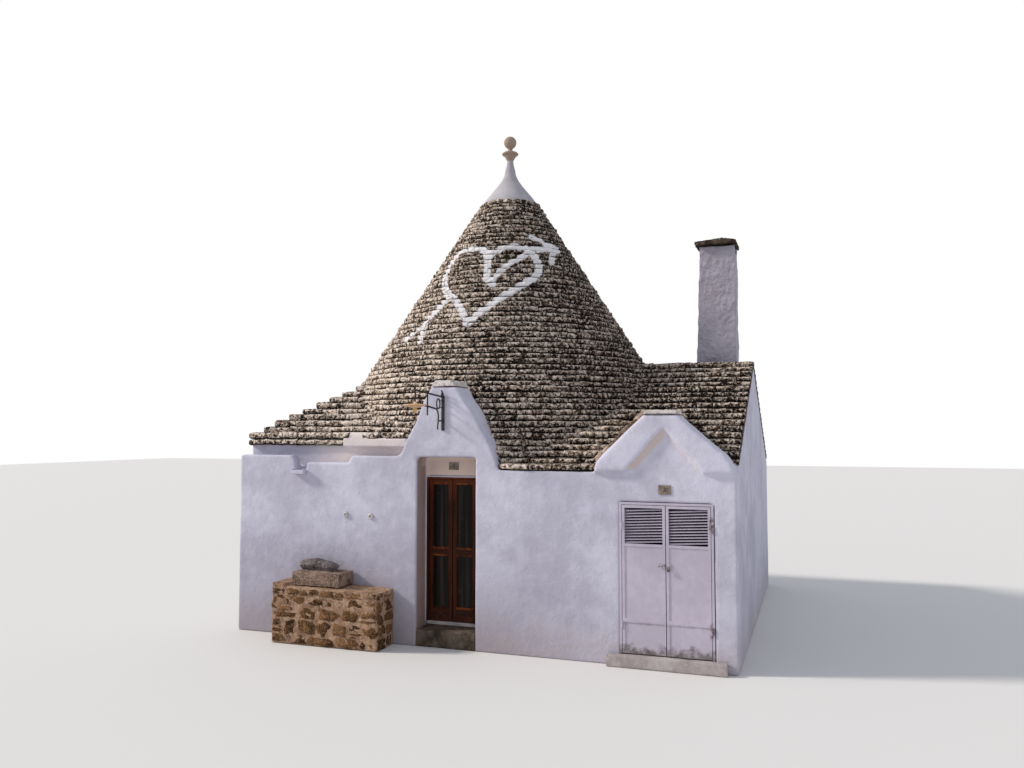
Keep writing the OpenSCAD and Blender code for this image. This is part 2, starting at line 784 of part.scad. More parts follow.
// Leaf's halves of a row of hinges
module leaf_hinges(x, y, side, reach, heights) {
  for (z = heights) hinge_half(x, y, side, reach, z + hinge_slip / 2);
}

flap_reach = 25;
entrance_hinge_y = leaf_y + leaf_thick + hinge_lift;
entrance_axis_left = left_leaf_x - leaf_gap / 2;
entrance_axis_right = right_leaf_x + leaf_width + leaf_gap / 2;

module entrance_frame() {
  color(oak) {
    slab_box(doorway_left, doorway_left + frame_width, door_y, door_y + frame_depth,
             threshold_top, doorway_top);
    slab_box(doorway_right - frame_width, doorway_right, door_y, door_y + frame_depth,
             threshold_top, doorway_top);
    slab_box(doorway_left + frame_width, doorway_right - frame_width, door_y, door_y + frame_depth,
             doorway_top - frame_width, doorway_top);
    frame_hinges(entrance_axis_left, entrance_hinge_y, -1, -flap_reach, entrance_hinges);
    frame_hinges(entrance_axis_right, entrance_hinge_y, -1, flap_reach, entrance_hinges);
  }
}

// A wooden leaf: stiles and rails round two openings for the panes, from x0 to x0 + leaf_width
module wooden_leaf(x0) {
  lower_foot = leaf_foot + bottom_rail;
  upper_foot = mid_rail_height + mid_rail;
  difference() {
    slab_box(x0, x0 + leaf_width, leaf_y, leaf_y + leaf_thick, leaf_foot, leaf_head);
    for (span = [[lower_foot, mid_rail_height], [upper_foot, leaf_head - top_rail]]) {
      slab_box(x0 + stile_width, x0 + leaf_width - stile_width, leaf_y - 1, leaf_y + leaf_thick + 1,
               span[0], span[1]);
      slab_box(x0 + stile_width - pane_groove, x0 + leaf_width - stile_width + pane_groove,
               leaf_y + (leaf_thick - pane_thick) / 2, leaf_y + (leaf_thick + pane_thick) / 2,
               span[0] - pane_groove, span[1] + pane_groove);
    }
  }
}

module leaf_panes(x0) {
  for (span = [[leaf_foot + bottom_rail, mid_rail_height],
               [mid_rail_height + mid_rail, leaf_head - top_rail]])
    slab_box(x0 + stile_width - pane_groove, x0 + leaf_width - stile_width + pane_groove,
             leaf_y + (leaf_thick - pane_thick) / 2, leaf_y + (leaf_thick + pane_thick) / 2,
             span[0] - pane_groove, span[1] + pane_groove);
}

module entrance_leaf_left() {
  color(oak) {
    wooden_leaf(left_leaf_x);
    leaf_hinges(entrance_axis_left, entrance_hinge_y, -1, flap_reach, entrance_hinges);
  }
}

module entrance_leaf_right() {
  color(oak) {
    wooden_leaf(right_leaf_x);
    leaf_hinges(entrance_axis_right, entrance_hinge_y, -1, -flap_reach, entrance_hinges);
  }
}

module entrance_glass_left() { color(pane) leaf_panes(left_leaf_x); }

module entrance_glass_right() { color(pane) leaf_panes(right_leaf_x); }

// Steel store door

steel_leaf_width = (store_width - 2 * steel_width - 2 * leaf_gap - meeting_gap) / 2;
louvre_foot = steel_head - steel_tube - louvre_rise;
steel_left_x = store_left + steel_width + leaf_gap;
steel_right_x = steel_left_x + steel_leaf_width + meeting_gap;
store_hinge_y = front_y - hinge_lift;
store_axis_left = steel_left_x - leaf_gap / 2;
store_axis_right = steel_right_x + steel_leaf_width + leaf_gap / 2;

module store_frame() {
  color(steel_paint) {
    slab_box(store_left, store_left + steel_width, front_y, front_y + steel_depth,
             store_sill, store_door_top);
    slab_box(store_right - steel_width, store_right, front_y, front_y + steel_depth,
             store_sill, store_door_top);
    slab_box(store_left + steel_width, store_right - steel_width, front_y, front_y + steel_depth,
             store_door_top - steel_width, store_door_top);
    frame_hinges(store_axis_left, store_hinge_y, 1, -flap_reach, store_hinges);
    frame_hinges(store_axis_right, store_hinge_y, 1, flap_reach, store_hinges);
  }
}

// A steel leaf: edge tubes and rails round a louvre opening, with a sheet below it
module steel_leaf(x0) {
  sheet_y = front_y + 8;
  louvre_head = steel_head - steel_tube;
  rail_foot = steel_foot + lower_rail_rise;
  difference() {
    slab_box(x0, x0 + steel_leaf_width, front_y, front_y + steel_leaf_thick, steel_foot, steel_head);
    slab_box(x0 + steel_tube, x0 + steel_leaf_width - steel_tube, front_y - 1, front_y + steel_leaf_thick + 1,
             louvre_foot, louvre_head);
    for (span = [[steel_foot + steel_tube, rail_foot], [rail_foot + lower_rail, louvre_foot - steel_tube]]) {
      slab_box(x0 + steel_tube, x0 + steel_leaf_width - steel_tube, front_y - 1, sheet_y, span[0], span[1]);
      slab_box(x0 + steel_tube, x0 + steel_leaf_width - steel_tube, sheet_y + sheet_thick,
               front_y + steel_leaf_thick + 1, span[0], span[1]);
    }
  }
}

// Slats of a louvre panel, tilted to shed rain and sagging to the left
module louvre_slats(x0) {
  slat_depth = 26;
  slat_thick = 3;
  slat_tilt = 35;
  span = steel_leaf_width - 2 * steel_tube;
  half_sag = span / 2 * tan(slat_sag);
  first = louvre_foot + half_sag + slat_depth / 2;
  last = steel_head - steel_tube - half_sag - slat_depth / 2;
  slat_length = span / cos(slat_sag) + slat_depth;
  intersection() {
    slab_box(x0 + steel_tube, x0 + steel_tube + span, front_y, front_y + steel_leaf_thick,
             louvre_foot, louvre_foot + louvre_rise);
    for (i = [0:slat_count - 1])
      translate([x0 + steel_tube + span / 2, front_y + steel_leaf_thick / 2,
                 first + i * (last - first) / (slat_count - 1)])
        rotate([0, -slat_sag, 0]) rotate([slat_tilt, 0, 0])
          translate([-slat_length / 2, -slat_depth / 2, -slat_thick / 2])
            cube([slat_length, slat_depth, slat_thick]);
  }
}

module store_leaf_left() {
  color(steel_paint) {
    steel_leaf(steel_left_x);
    leaf_hinges(store_axis_left, store_hinge_y, 1, flap_reach, store_hinges);
  }
}

module store_leaf_right() {
  color(steel_paint) {
    steel_leaf(steel_right_x);
    leaf_hinges(store_axis_right, store_hinge_y, 1, -flap_reach, store_hinges);
  }
}

module store_louvres_left() { color(steel_paint) louvre_slats(steel_left_x); }

module store_louvres_right() { color(steel_paint) louvre_slats(steel_right_x); }

// Slide bolt on the left leaf, drawn back from the right one
module store_bolt() {
  bolt_height = steel_foot + 0.6 * (steel_head - steel_foot);
  bolt_length = 80;
  bolt_radius = 9;
  guide_half = 6;
  bolt_end = steel_left_x + steel_leaf_width - 3;
  color(steel_paint) {
    translate([bolt_end - bolt_length, front_y - bolt_radius - 3, bolt_height])
      rotate([0, 90, 0]) cylinder(h = bolt_length, r = bolt_radius);
    for (offset = [8, 64])
      slab_box(bolt_end - bolt_length + offset - guide_half, bolt_end - bolt_length + offset + guide_half,
               front_y - 2 * bolt_radius - 6, front_y, bolt_height - 15, bolt_height + 15);
  }
}

// Lamp bracket
// The bracket lies in one plane: its points give the reach from the wall and the height

lamp_x = entrance_x - 37;
arm_height = entrance_gable_top - arm_drop;
arm_end = arm_height + 56;
hook_foot = arm_height - 96;
shade_height = hook_foot - 74;

// A flat bar between two points
module bracket_bar(from, to, width) {
  run = to[0] - from[0];
  rise = to[1] - from[1];
  translate(from) rotate(atan2(rise, run)) translate([0, -width / 2])
    square([sqrt(run * run + rise * rise), width]);
}

// Unit vector across a row of points at one of them
function bend_normal(points, i) =
  let (a = points[max(i - 1, 0)], b = points[min(i + 1, len(points) - 1)], d = b - a)
    [-d[1], d[0]] / norm(d);

// A bent flat bar through a row of points
module bracket_bend(points, width) {
  count = len(points);
  polygon(concat(
    [for (i = [0:count - 1]) points[i] + bend_normal(points, i) * width / 2],
    [for (i = [count - 1:-1:0]) points[i] - bend_normal(points, i) * width / 2]));
}

module bracket_ring(centre, radius, width) {
  translate(centre) difference() {
    circle(r = radius);
    circle(r = radius - width);
  }
}

module lamp_bracket() {
  plate_width = 36;
  plate_foot = arm_height - 444;
  plate_depth = 24;
  bar = 20;
  rod = 14;
  thin = 11;
  thickness = 16;
  rod_reach = 0.576 * arm_reach;
  elbow = arm_height - 168;
  hook_reach = arm_reach - rod / 2;
  ring_radius = 70;
  scroll_radius = 27;
  brace = [[224, elbow], [190, elbow - 16], [166, elbow - 46], [153, elbow - 88], [153, elbow - 145],
           [162, elbow - 185], [173, elbow - 220], [173, elbow - 262]];
  color(iron) translate([lamp_x, front_y, 0]) {
    slab_box(-plate_width / 2, plate_width / 2, -plate_depth, 0, plate_foot, arm_height + 8);
    translate([thickness / 2, 0, 0]) rotate([90, 0, 270]) linear_extrude(thickness) {
      bracket_bar([plate_depth / 2, arm_height - bar / 2], [arm_reach, arm_end - bar / 2], bar);
      bracket_bar([hook_reach, arm_end + 50], [hook_reach, hook_foot], rod);
      bracket_bar([rod_reach, arm_height + 10], [rod_reach, arm_height - 255], rod);
      bracket_bar([200, elbow - 2], [rod_reach + 58, elbow + 33], bar);
      translate([rod_reach + 55, elbow + 33]) circle(r = 15, $fn = 24);
      bracket_bend(brace, 13);
      bracket_bar([plate_depth / 2, elbow - 151], [153, elbow - 151], bar);
      bracket_bar([plate_depth / 2, arm_height - 60], [110, arm_height - 60], thin);
      bracket_bar([plate_depth / 2, elbow + 20], [130, elbow + 20], thin);
      translate([157, arm_height - 100]) scale([0.76, 1]) bracket_ring([0, 0], ring_radius, thin);
      bracket_ring([scroll_radius + 6, arm_height + scroll_radius - 4], scroll_radius, thin);
      bracket_bar([scroll_radius, arm_height + 2 * scroll_radius - 12],
                  [scroll_radius + 34, arm_height + 2 * scroll_radius + 22], thin);
    }
  }
}

// Enamelled lamp: a closed shallow dish with the lamp holder under it
module lamp_shade() {
  dish_rise = 46;
  holder_radius = 27;
  holder_drop = 64;
  boss_radius = 20;
  boss_top = hook_foot;
  dish_top = shade_height + dish_rise;
  color(cream) translate([lamp_x, front_y - arm_reach + 7, 0]) {
    rotate_extrude() polygon([
      [0, boss_top], [boss_radius, boss_top], [boss_radius, dish_top + 4], [shade_radius - 6, dish_top],
      [shade_radius, dish_top - 5], [0.55 * shade_radius, shade_height + 12], [holder_radius, shade_height],
      [holder_radius, shade_height - holder_drop + 12], [holder_radius - 10, shade_height - holder_drop],
      [0, shade_height - holder_drop]]);
  }
}

// Small fixtures on the walls

module number_plates() {
  plate_thick = 8;
  entrance_plate = [138, 98];
  store_plate = [150, 110];
  entrance_z = (doorway_top + recess_top) / 2 + 8;
  store_z = store_door_top + 155;
  color(limestone) {
    translate([entrance_x - 14 - entrance_plate[0] / 2, door_y - plate_thick,
               entrance_z - entrance_plate[1] / 2])
      cube([entrance_plate[0], plate_thick, entrance_plate[1]]);
    translate([store_x - 5 - store_plate[0] / 2, front_y - plate_thick, store_z - store_plate[1] / 2])
      cube([store_plate[0], plate_thick, store_plate[1]]);
  }
}

module ceramic_fixtures() {
  color(cream) for (place = [[-1465, -625], [-1085, -640]])
    translate([entrance_x + place[0], front_y, wall_top + place[1]]) rotate([90, 0, 0])
      cylinder(h = 22, r1 = 40, r2 = 34);
}

// Bench in front of the wall

bench_right = entrance_x - bench_offset;
bench_left = bench_right - bench_length;

// The bench's top is higher at its left end and falls towards the right
bench_seat = bench_height + 20;
module stone_bench() {
  color(limestone) front_outline(bench_left, front_y - bench_depth, front_y,
    [[0, 0], [0, bench_seat + 43], [165, bench_seat + 38], [205, bench_seat],
     [bench_length - 520, bench_seat], [bench_length, bench_height], [bench_length, 0]]);
}

// Stone block on the bench and the worn round stone on top of it
module bench_stones() {
  block_x = bench_left + 242;
  block_y = front_y - 5 - block_depth;
  stone_x = block_x + 0.41 * block_length;
  stone_y = front_y - 180;
  color(limestone) {
    translate([block_x, block_y, bench_seat]) cube([block_length, block_depth, block_rise]);
    translate([stone_x, stone_y, bench_seat + block_rise]) intersection() {
      hull() {
        translate([-190, 0, 70]) scale([1, 1.1, 0.74]) sphere(r = 100, $fn = 24);
        translate([-30, 5, 76]) scale([1.2, 1.15, 0.79]) sphere(r = 105, $fn = 24);
        translate([170, 0, 58]) scale([1.2, 1.05, 0.62]) sphere(r = 100, $fn = 24);
      }
      translate([-400, -200, 0]) cube([800, 400, 300]);
    }
  }
}

floors();
front_wall_left();
front_wall_middle();
lintels();
left_party_wall();
dividing_wall();
right_party_wall();
rear_wall();
corner_squinches();
eaves_wall();
inner_dome();
roof_cone_lower();
roof_cone_middle();
roof_cone_upper();
roof_skirt();
cone_cap();
pinnacle();
parapets();
rain_spout();
entrance_gable();
store_gable();
gable_caps();
saddle_roofs();
store_roof();
store_vault();
chimney_stack();
chimney_cap();
steps();
entrance_frame();
entrance_leaf_left();
entrance_leaf_right();
entrance_glass_left();
entrance_glass_right();
store_frame();
store_leaf_left();
store_leaf_right();
store_louvres_left();
store_louvres_right();
store_bolt();
lamp_bracket();
lamp_shade();
number_plates();
ceramic_fixtures();
stone_bench();
bench_stones();
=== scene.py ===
# Trullo house: slab courses, limewashed masonry, doors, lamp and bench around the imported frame.
# Metres. X runs along the street front, Y into the house, Z up from the lowest ground.

import math
import random

import bmesh
import bpy
from mathutils import Matrix, Vector, noise


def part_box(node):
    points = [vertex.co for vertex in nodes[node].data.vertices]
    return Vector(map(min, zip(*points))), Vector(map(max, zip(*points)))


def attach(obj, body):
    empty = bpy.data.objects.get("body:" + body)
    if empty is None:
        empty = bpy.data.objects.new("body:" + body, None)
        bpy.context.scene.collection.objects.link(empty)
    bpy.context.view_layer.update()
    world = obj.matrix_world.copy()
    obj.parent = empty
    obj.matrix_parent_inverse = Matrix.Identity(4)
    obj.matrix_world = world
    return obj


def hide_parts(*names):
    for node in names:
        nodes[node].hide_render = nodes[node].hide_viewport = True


# Without a seed this noise follows the clock, and the stones change from run to run.
noise.seed_set(1)

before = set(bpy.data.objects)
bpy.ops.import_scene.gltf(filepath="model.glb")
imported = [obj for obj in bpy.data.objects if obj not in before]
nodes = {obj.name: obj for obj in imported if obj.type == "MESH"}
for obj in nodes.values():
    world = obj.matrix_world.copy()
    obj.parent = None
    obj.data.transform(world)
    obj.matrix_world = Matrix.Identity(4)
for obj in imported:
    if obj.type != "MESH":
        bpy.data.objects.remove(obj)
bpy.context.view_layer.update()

# Masonry block
FRONT = -3.100
REAR = 3.100
LEFT = -2.950
RIGHT = 3.880
WALL_TOP = 2.280
DOOR_FACE = -2.800

# Cone roof
EAVES = 2.660
EAVES_RADIUS = 2.915
APEX = 7.200
CAP_FOOT = 6.520
CONE_SPREAD = EAVES_RADIUS / (APEX - EAVES)

# Gables and the roofs behind them
ENTRANCE_X = 0.230
ENTRANCE_HALF = 0.720
ENTRANCE_SHOULDER = WALL_TOP + 0.165
ENTRANCE_RISE = 0.905
ENTRANCE_FOOT = -0.550
ENTRANCE_BACK = -2.650
ENTRANCE_RIDGE = 3.290
ENTRANCE_EAVES = 3.060
ENTRANCE_SPREAD = 0.194
ENTRANCE_END = -1.300
STORE_X = 3.055
STORE_BACK = -2.800
STORE_RIDGE = 2.930
STORE_EAVES = 2.330
STORE_RIGHT = 3.610
STORE_SPREAD = 0.740
STORE_END = -0.400
NICHE_TOP = (3.043, 2.800)
NICHE_SPREAD = 0.894
NICHE_FOOT = 2.300
ROOF_RIDGE = 3.800
ROOF_LEFT = 0.950

# Outline of the store gable's left slope, in X and Z
GABLE_SLOPE = ((2.235, 2.420), (2.324, 2.508), (2.464, 2.639), (2.549, 2.722), (2.634, 2.804),
               (2.724, 2.887), (2.800, 2.958))

# Plaster carried up under the eaves beside the entrance gable: a high part and a low one
PLASTER_LEFT = -1.400
PLASTER_STEP = -1.020
PLASTER_RIGHT = -0.420
PLASTER_FOOT = 2.550
PLASTER_TOP = 2.760
PLASTER_LOW_TOP = 2.682

# The street's eaves are free between these places in X, between the two gables
FREE_EAVES = (1.13, 2.18)

# Chimney stack
CHIMNEY_LEFT = 2.950
CHIMNEY_FRONT = 0.340
CHIMNEY_BACK = 0.910

# Underside of the pinnacle's disc
DISC_FOOT = 7.290

# Slab courses of each slope, and the lengths of their slabs
CONE_COURSES = 48
LOWER_CONE_COURSES = 19
SKIRT_COURSES = 5
ROOF_COURSES = 19
CORNER_COURSES = 9
CORNER_RISE = 0.799
HANGING_COURSE = 0.085
CONE_SLAB = (0.19, 0.30)
ROOF_SLAB = (0.19, 0.31)
CORNER_SLAB = (0.19, 0.32)

# Wooden leaves of the entrance
LEAF_LEFT = {"left": -0.1480, "right": 0.1955}
LEAF_WIDTH = 0.3345
LEAF_FACE = -2.780
LEAF_BACK = -2.736
LEAF_TOP = 2.300
STILE = 0.050
PANE_SPANS = ((0.451, 1.1307), (1.2307, 2.074))
FRAME_HEAD = 2.134
FILLET_HEAD = 2.163

# Steel leaves of the store
BOLT_HEIGHT = 1.195
LOWER_RAIL = 0.500
HINGE_HEIGHTS = (0.470, 1.680)

# Bench in front of the wall
BENCH_LEFT = -2.060
BENCH_RIGHT = -0.500
BENCH_FACE = -3.570
BENCH_SEAT = 0.742
BLOCK_TOP = BENCH_SEAT + 0.186


def cone_radius(height):
    return CONE_SPREAD * (APEX - height)


def course_levels(low, high, courses):
    """Levels of the courses, which waver in height as in the solids."""
    beat = round(0.38 * courses)
    return [low + (high - low) * (i + 0.07 * math.sin(2 * math.pi * beat * i / courses)) / courses
            for i in range(courses + 1)]


def steps(start, span, count):
    """Places from start over a span, at equal distances."""
    return [start + span * i / count for i in range(count + 1)]


def store_roof_height(y):
    return ROOF_RIDGE - (ROOF_RIDGE - WALL_TOP) * abs(y) / REAR


class Value:
    """A number, colour or vector inside a node tree. Arithmetic on it adds Math nodes."""

    def __init__(self, graph, socket):
        self.graph = graph
        self.socket = socket

    def __add__(self, other):
        return self.graph.math("ADD", self, other)

    __radd__ = __add__

    def __sub__(self, other):
        return self.graph.math("SUBTRACT", self, other)

    def __rsub__(self, other):
        return self.graph.math("SUBTRACT", other, self)

    def __mul__(self, other):
        return self.graph.math("MULTIPLY", self, other)

    __rmul__ = __mul__

    def __truediv__(self, other):
        return self.graph.math("DIVIDE", self, other)


class Graph:
    """Adds nodes to a tree. A socket takes a plain value or the Value of another node."""

    def __init__(self, tree):
        self.tree = tree

    def plug(self, value, socket):
        """Links a Value, or sets a plain value. A colour gets its fourth part here."""
        if isinstance(value, Value):
            self.tree.links.new(value.socket, socket)
            return
        if socket.type == "RGBA" and len(value) == 3:
            value = (*value, 1)
        socket.default_value = value

    def node(self, kind, sockets=None, out=0, stops=None, **settings):
        """Adds a node: its settings first, then its sockets and the stops of a ramp."""
        node = self.tree.nodes.new(kind)
        for name, value in settings.items():
            setattr(node, name, value)
        if stops:
            ramp = node.color_ramp
            while len(ramp.elements) < len(stops):
                ramp.elements.new(0.5)
            for element, (place, colour) in zip(ramp.elements, stops):
                element.position = place
                element.color = (*colour, 1)
        for name, value in (sockets or {}).items():
            self.plug(value, node.inputs[name])
        return Value(self, node.outputs[out])

    def math(self, operation, *values, clamp=False):
        return self.node("ShaderNodeMath", dict(enumerate(values)), operation=operation, use_clamp=clamp)

    def vector(self, operation, *values, out=0, scale=None):
        sockets = dict(enumerate(values))
        if scale is not None:
            sockets["Scale"] = scale
        return self.node("ShaderNodeVectorMath", sockets, out=out, operation=operation)

    def xyz(self, x, y, z):
        return self.node("ShaderNodeCombineXYZ", {0: x, 1: y, 2: z})


class Finish(Graph):
    """A material with one Principled shader, painted from places on the object."""

    def __init__(self, name, roughness=0.85, metallic=0.0, coat=0.0, shine=0.5):
        self.material = bpy.data.materials.new(name)
        self.material.use_nodes = True
        super().__init__(self.material.node_tree)
        self.tree.nodes.clear()
        self.shader = self.tree.nodes.new("ShaderNodeBsdfPrincipled")
        output = self.tree.nodes.new("ShaderNodeOutputMaterial")
        self.tree.links.new(self.shader.outputs[0], output.inputs[0])
        self.shader.inputs["Roughness"].default_value = roughness
        self.shader.inputs["Metallic"].default_value = metallic
        self.shader.inputs["Coat Weight"].default_value = coat
        self.shader.inputs["Specular IOR Level"].default_value = shine
        self.place = self.node("ShaderNodeTexCoord", out="Object")
        split = self.tree.nodes.new("ShaderNodeSeparateXYZ")
        self.tree.links.new(self.place.socket, split.inputs[0])
        self.x, self.y, self.z = (Value(self, socket) for socket in split.outputs)
        self.height = None

    def noise(self, scale, detail=2.0, roughness=0.5, place=None, distortion=0.0):
        return self.node("ShaderNodeTexNoise", {
            "Vector": place or self.place, "Scale": scale, "Detail": detail,
            "Roughness": roughness, "Distortion": distortion})

    def stretched(self, sx, sy, sz):
        return self.vector("MULTIPLY", self.place, (sx, sy, sz))

    def attribute(self, name):
        return self.node("ShaderNodeAttribute", out="Fac", attribute_name=name)

    def rise(self, value, low, high):
        """0 below low, 1 above high, and a soft step between them."""
        return self.node("ShaderNodeMapRange", {"Value": value, "From Min": low, "From Max": high},
                         interpolation_type="SMOOTHSTEP")

    def fall(self, value, low, high):
        """1 below low, 0 above high, and a soft step between them."""
        return self.node("ShaderNodeMapRange", {
            "Value": value, "From Min": low, "From Max": high, "To Min": 1.0, "To Max": 0.0},
            interpolation_type="SMOOTHSTEP")

    def near(self, value, centre, inner, outer):
        """1 up to the inner distance from the centre, and 0 from the outer one."""
        return self.fall(self.math("ABSOLUTE", value - centre), inner, outer)

    def mix(self, share, first, second):
        """The first colour, and the second one where share is 1."""
        return self.node("ShaderNodeMix", {0: share, 6: first, 7: second}, out=2, data_type="RGBA")

    def paint(self, socket, value):
        self.plug(value, self.shader.inputs[socket])

    def colour(self, value):
        self.paint("Base Color", value)

    def bump(self, height, distance, strength=1.0):
        """Adds relief: height from 0 to 1 stands for that distance in metres."""
        sockets = {"Height": height, "Distance": distance, "Strength": strength}
        if self.height is not None:
            sockets["Normal"] = self.height
        self.height = self.node("ShaderNodeBump", sockets)
        self.plug(self.height, self.shader.inputs["Normal"])


# Finishes

# The default tint is white lime, dimmed and turned lilac by painted shade
def limewash(name, tint=(0.560, 0.548, 0.655), dirt=1.0, lumps=0.006, warmth=(), hood=None, foot=0.0):
    """Many coats of lime over rubble. foot is how much painted shade darkens the wall towards the
    ground. warmth lists boxes inside which the wall takes a warmer colour, painted shade and painted
    light among them: two corners, the softness of the box in X, a share and a colour. hood is the top
    of a gable's niche, how far it spreads, and the height at which it ends: the wall is warm under the
    edges of the hood."""
    f = Finish(name, roughness=0.88)
    broad = f.noise(0.9, 3)
    patches = f.noise(4.5, 4, 0.6)
    fine = f.noise(38, 4, 0.65)
    pale = tuple(min(1.0, c * 1.12) for c in tint)
    shade = tuple(c * s for c, s in zip(tint, (0.86, 0.85, 0.87)))
    tone = f.mix(f.rise(broad * 0.6 + patches * 0.4, 0.38, 0.62), shade, pale)
    # Painted shade: the wall darkens towards the ground, most of all to the left
    if foot:
        low = f.fall(f.z + (broad - 0.5) * 0.5, 0.15, 1.85) * (f.fall(f.x, 0.9, 2.4) * 0.7 + 0.3)
        tone = f.mix(low * foot, tone, tuple(c * s for c, s in zip(tint, (0.32, 0.28, 0.30))))
    # Rain brings earth up from the ground and leaves runs under the edges
    runs = f.noise(3.2, 5, 0.6, place=f.stretched(3.0, 3.0, 0.35))
    splash = f.fall(f.z + (runs - 0.5) * 0.5, 0.02, 0.62) * f.rise(fine * 0.5 + patches * 0.5, 0.3, 0.7)
    tone = f.mix(splash * (0.62 * dirt), tone, (0.36, 0.28, 0.235))
    stains = f.rise(runs, 0.60, 0.80) * (0.20 * dirt)
    tone = f.mix(stains, tone, (0.40, 0.35, 0.34))
    if hood:
        top, spread, hood_end = hood
        beside = f.math("ABSOLUTE", f.x - top[0])
        under = (top[1] - f.z - beside / spread) * (spread / math.hypot(1, spread))
        left = f.fall(f.x - top[0], -0.02, 0.02) * 0.75 + 0.25
        warm = f.rise(under, -0.05, -0.02) * f.fall(under, 0.045, 0.085) * left
        # From the hood's own face to just behind the wall's
        warm = warm * f.fall(f.y, FRONT + 0.010, FRONT + 0.030) * f.rise(f.y, FRONT - 0.052, FRONT - 0.042)
        warm = warm * f.rise(f.z, hood_end, hood_end + 0.04)
        tone = f.mix(warm * 0.62, tone, (0.62, 0.485, 0.375))
    # Boxes of other colours: painted shade in the recess, cream over the door, painted sunlight under the
    # eaves
    for low, high, soft, share, colour in warmth:
        warm = 1.0
        for place, start, end, fade in zip((f.x, f.y, f.z), low, high, (soft, 0.03, 0.03)):
            warm = f.rise(place, start, start + fade) * f.fall(place, end - fade, end) * warm
        tone = f.mix(warm * (share + (patches - 0.5) * 0.6), tone, colour)
    specks = f.rise(f.noise(95, 2), 0.70, 0.76) * 0.35
    f.colour(f.mix(specks, tone, (0.30, 0.26, 0.25)))
    f.bump(patches * 0.6 + broad * 0.4, lumps * 2.5)
    f.bump(f.noise(16, 4, 0.6), lumps)
    f.bump(fine, 0.0016)
    return f.material


# The painted sign on the cone, in metres on the unrolled cone: to the right of its front line,
# and down the slope from the point where the slopes meet
SIGN_STROKES = (
    (0.058, ((0.03, 2.01), (-0.14, 1.91), (-0.34, 1.86), (-0.52, 1.89), (-0.62, 2.04), (-0.67, 2.29),
             (-0.58, 2.61), (-0.44, 2.82), (-0.29, 2.94), (-0.13, 3.18), (0.02, 3.43))),
    (0.062, ((0.02, 3.43), (0.10, 3.30), (0.24, 3.14), (0.37, 2.97), (0.52, 2.81), (0.66, 2.63),
             (0.80, 2.45), (0.86, 2.28), (0.84, 2.11), (0.75, 1.97), (0.66, 1.90))),
    (0.060, ((0.66, 1.87), (0.45, 1.84), (0.26, 1.91), (0.14, 2.03), (0.06, 2.13))),
    (0.058, ((0.02, 2.01), (0.09, 2.31), (0.12, 2.56), (0.24, 2.67))),
    (0.050, ((0.23, 2.59), (0.30, 2.38), (0.41, 2.23), (0.54, 2.09), (0.66, 1.90))),
    (0.070, ((0.66, 1.87), (0.89, 1.69), (1.08, 1.55))),
    (0.055, ((1.04, 1.55), (0.88, 1.59), (0.75, 1.56), (0.63, 1.56))),
    (0.055, ((1.02, 1.63), (1.02, 1.95))),
    (0.056, ((-0.41, 2.84), (-0.53, 3.01), (-0.66, 3.14), (-0.76, 3.31), (-0.93, 3.39), (-1.08, 3.49))),
    (0.052, ((-0.76, 3.31), (-0.73, 3.64))),
)


def sign_mask(f):
    """1 where the sign is painted. The cone's surface is unrolled, so the strokes keep their width."""
    slant = math.hypot(EAVES_RADIUS, APEX - EAVES)
    turn = f.math("ARCTAN2", f.x, 0 - f.y) * (EAVES_RADIUS / slant)
    along = f.math("SQRT", f.x * f.x + f.y * f.y + (APEX - f.z) * (APEX - f.z))
    spot = f.xyz(along * f.math("SINE", turn), along * f.math("COSINE", turn), 0.0)
    nearest = None
    for half_width, stroke in SIGN_STROKES:
        for start, end in zip(stroke, stroke[1:]):
            a = Vector((*start, 0))
            run = Vector((*end, 0)) - a
            offset = f.vector("SUBTRACT", spot, tuple(a))
            share = f.math("MULTIPLY", f.vector("DOT_PRODUCT", offset, tuple(run), out="Value"),
                           1 / run.length_squared, clamp=True)
            reach = f.vector("LENGTH", f.vector("SUBTRACT", offset, f.vector(
                "SCALE", tuple(run), scale=share)), out="Value") - half_width
            nearest = reach if nearest is None else f.math("MINIMUM", nearest, reach)
    return f.fall(nearest + (f.noise(26, 3) - 0.5) * 0.045, -0.012, 0.006)


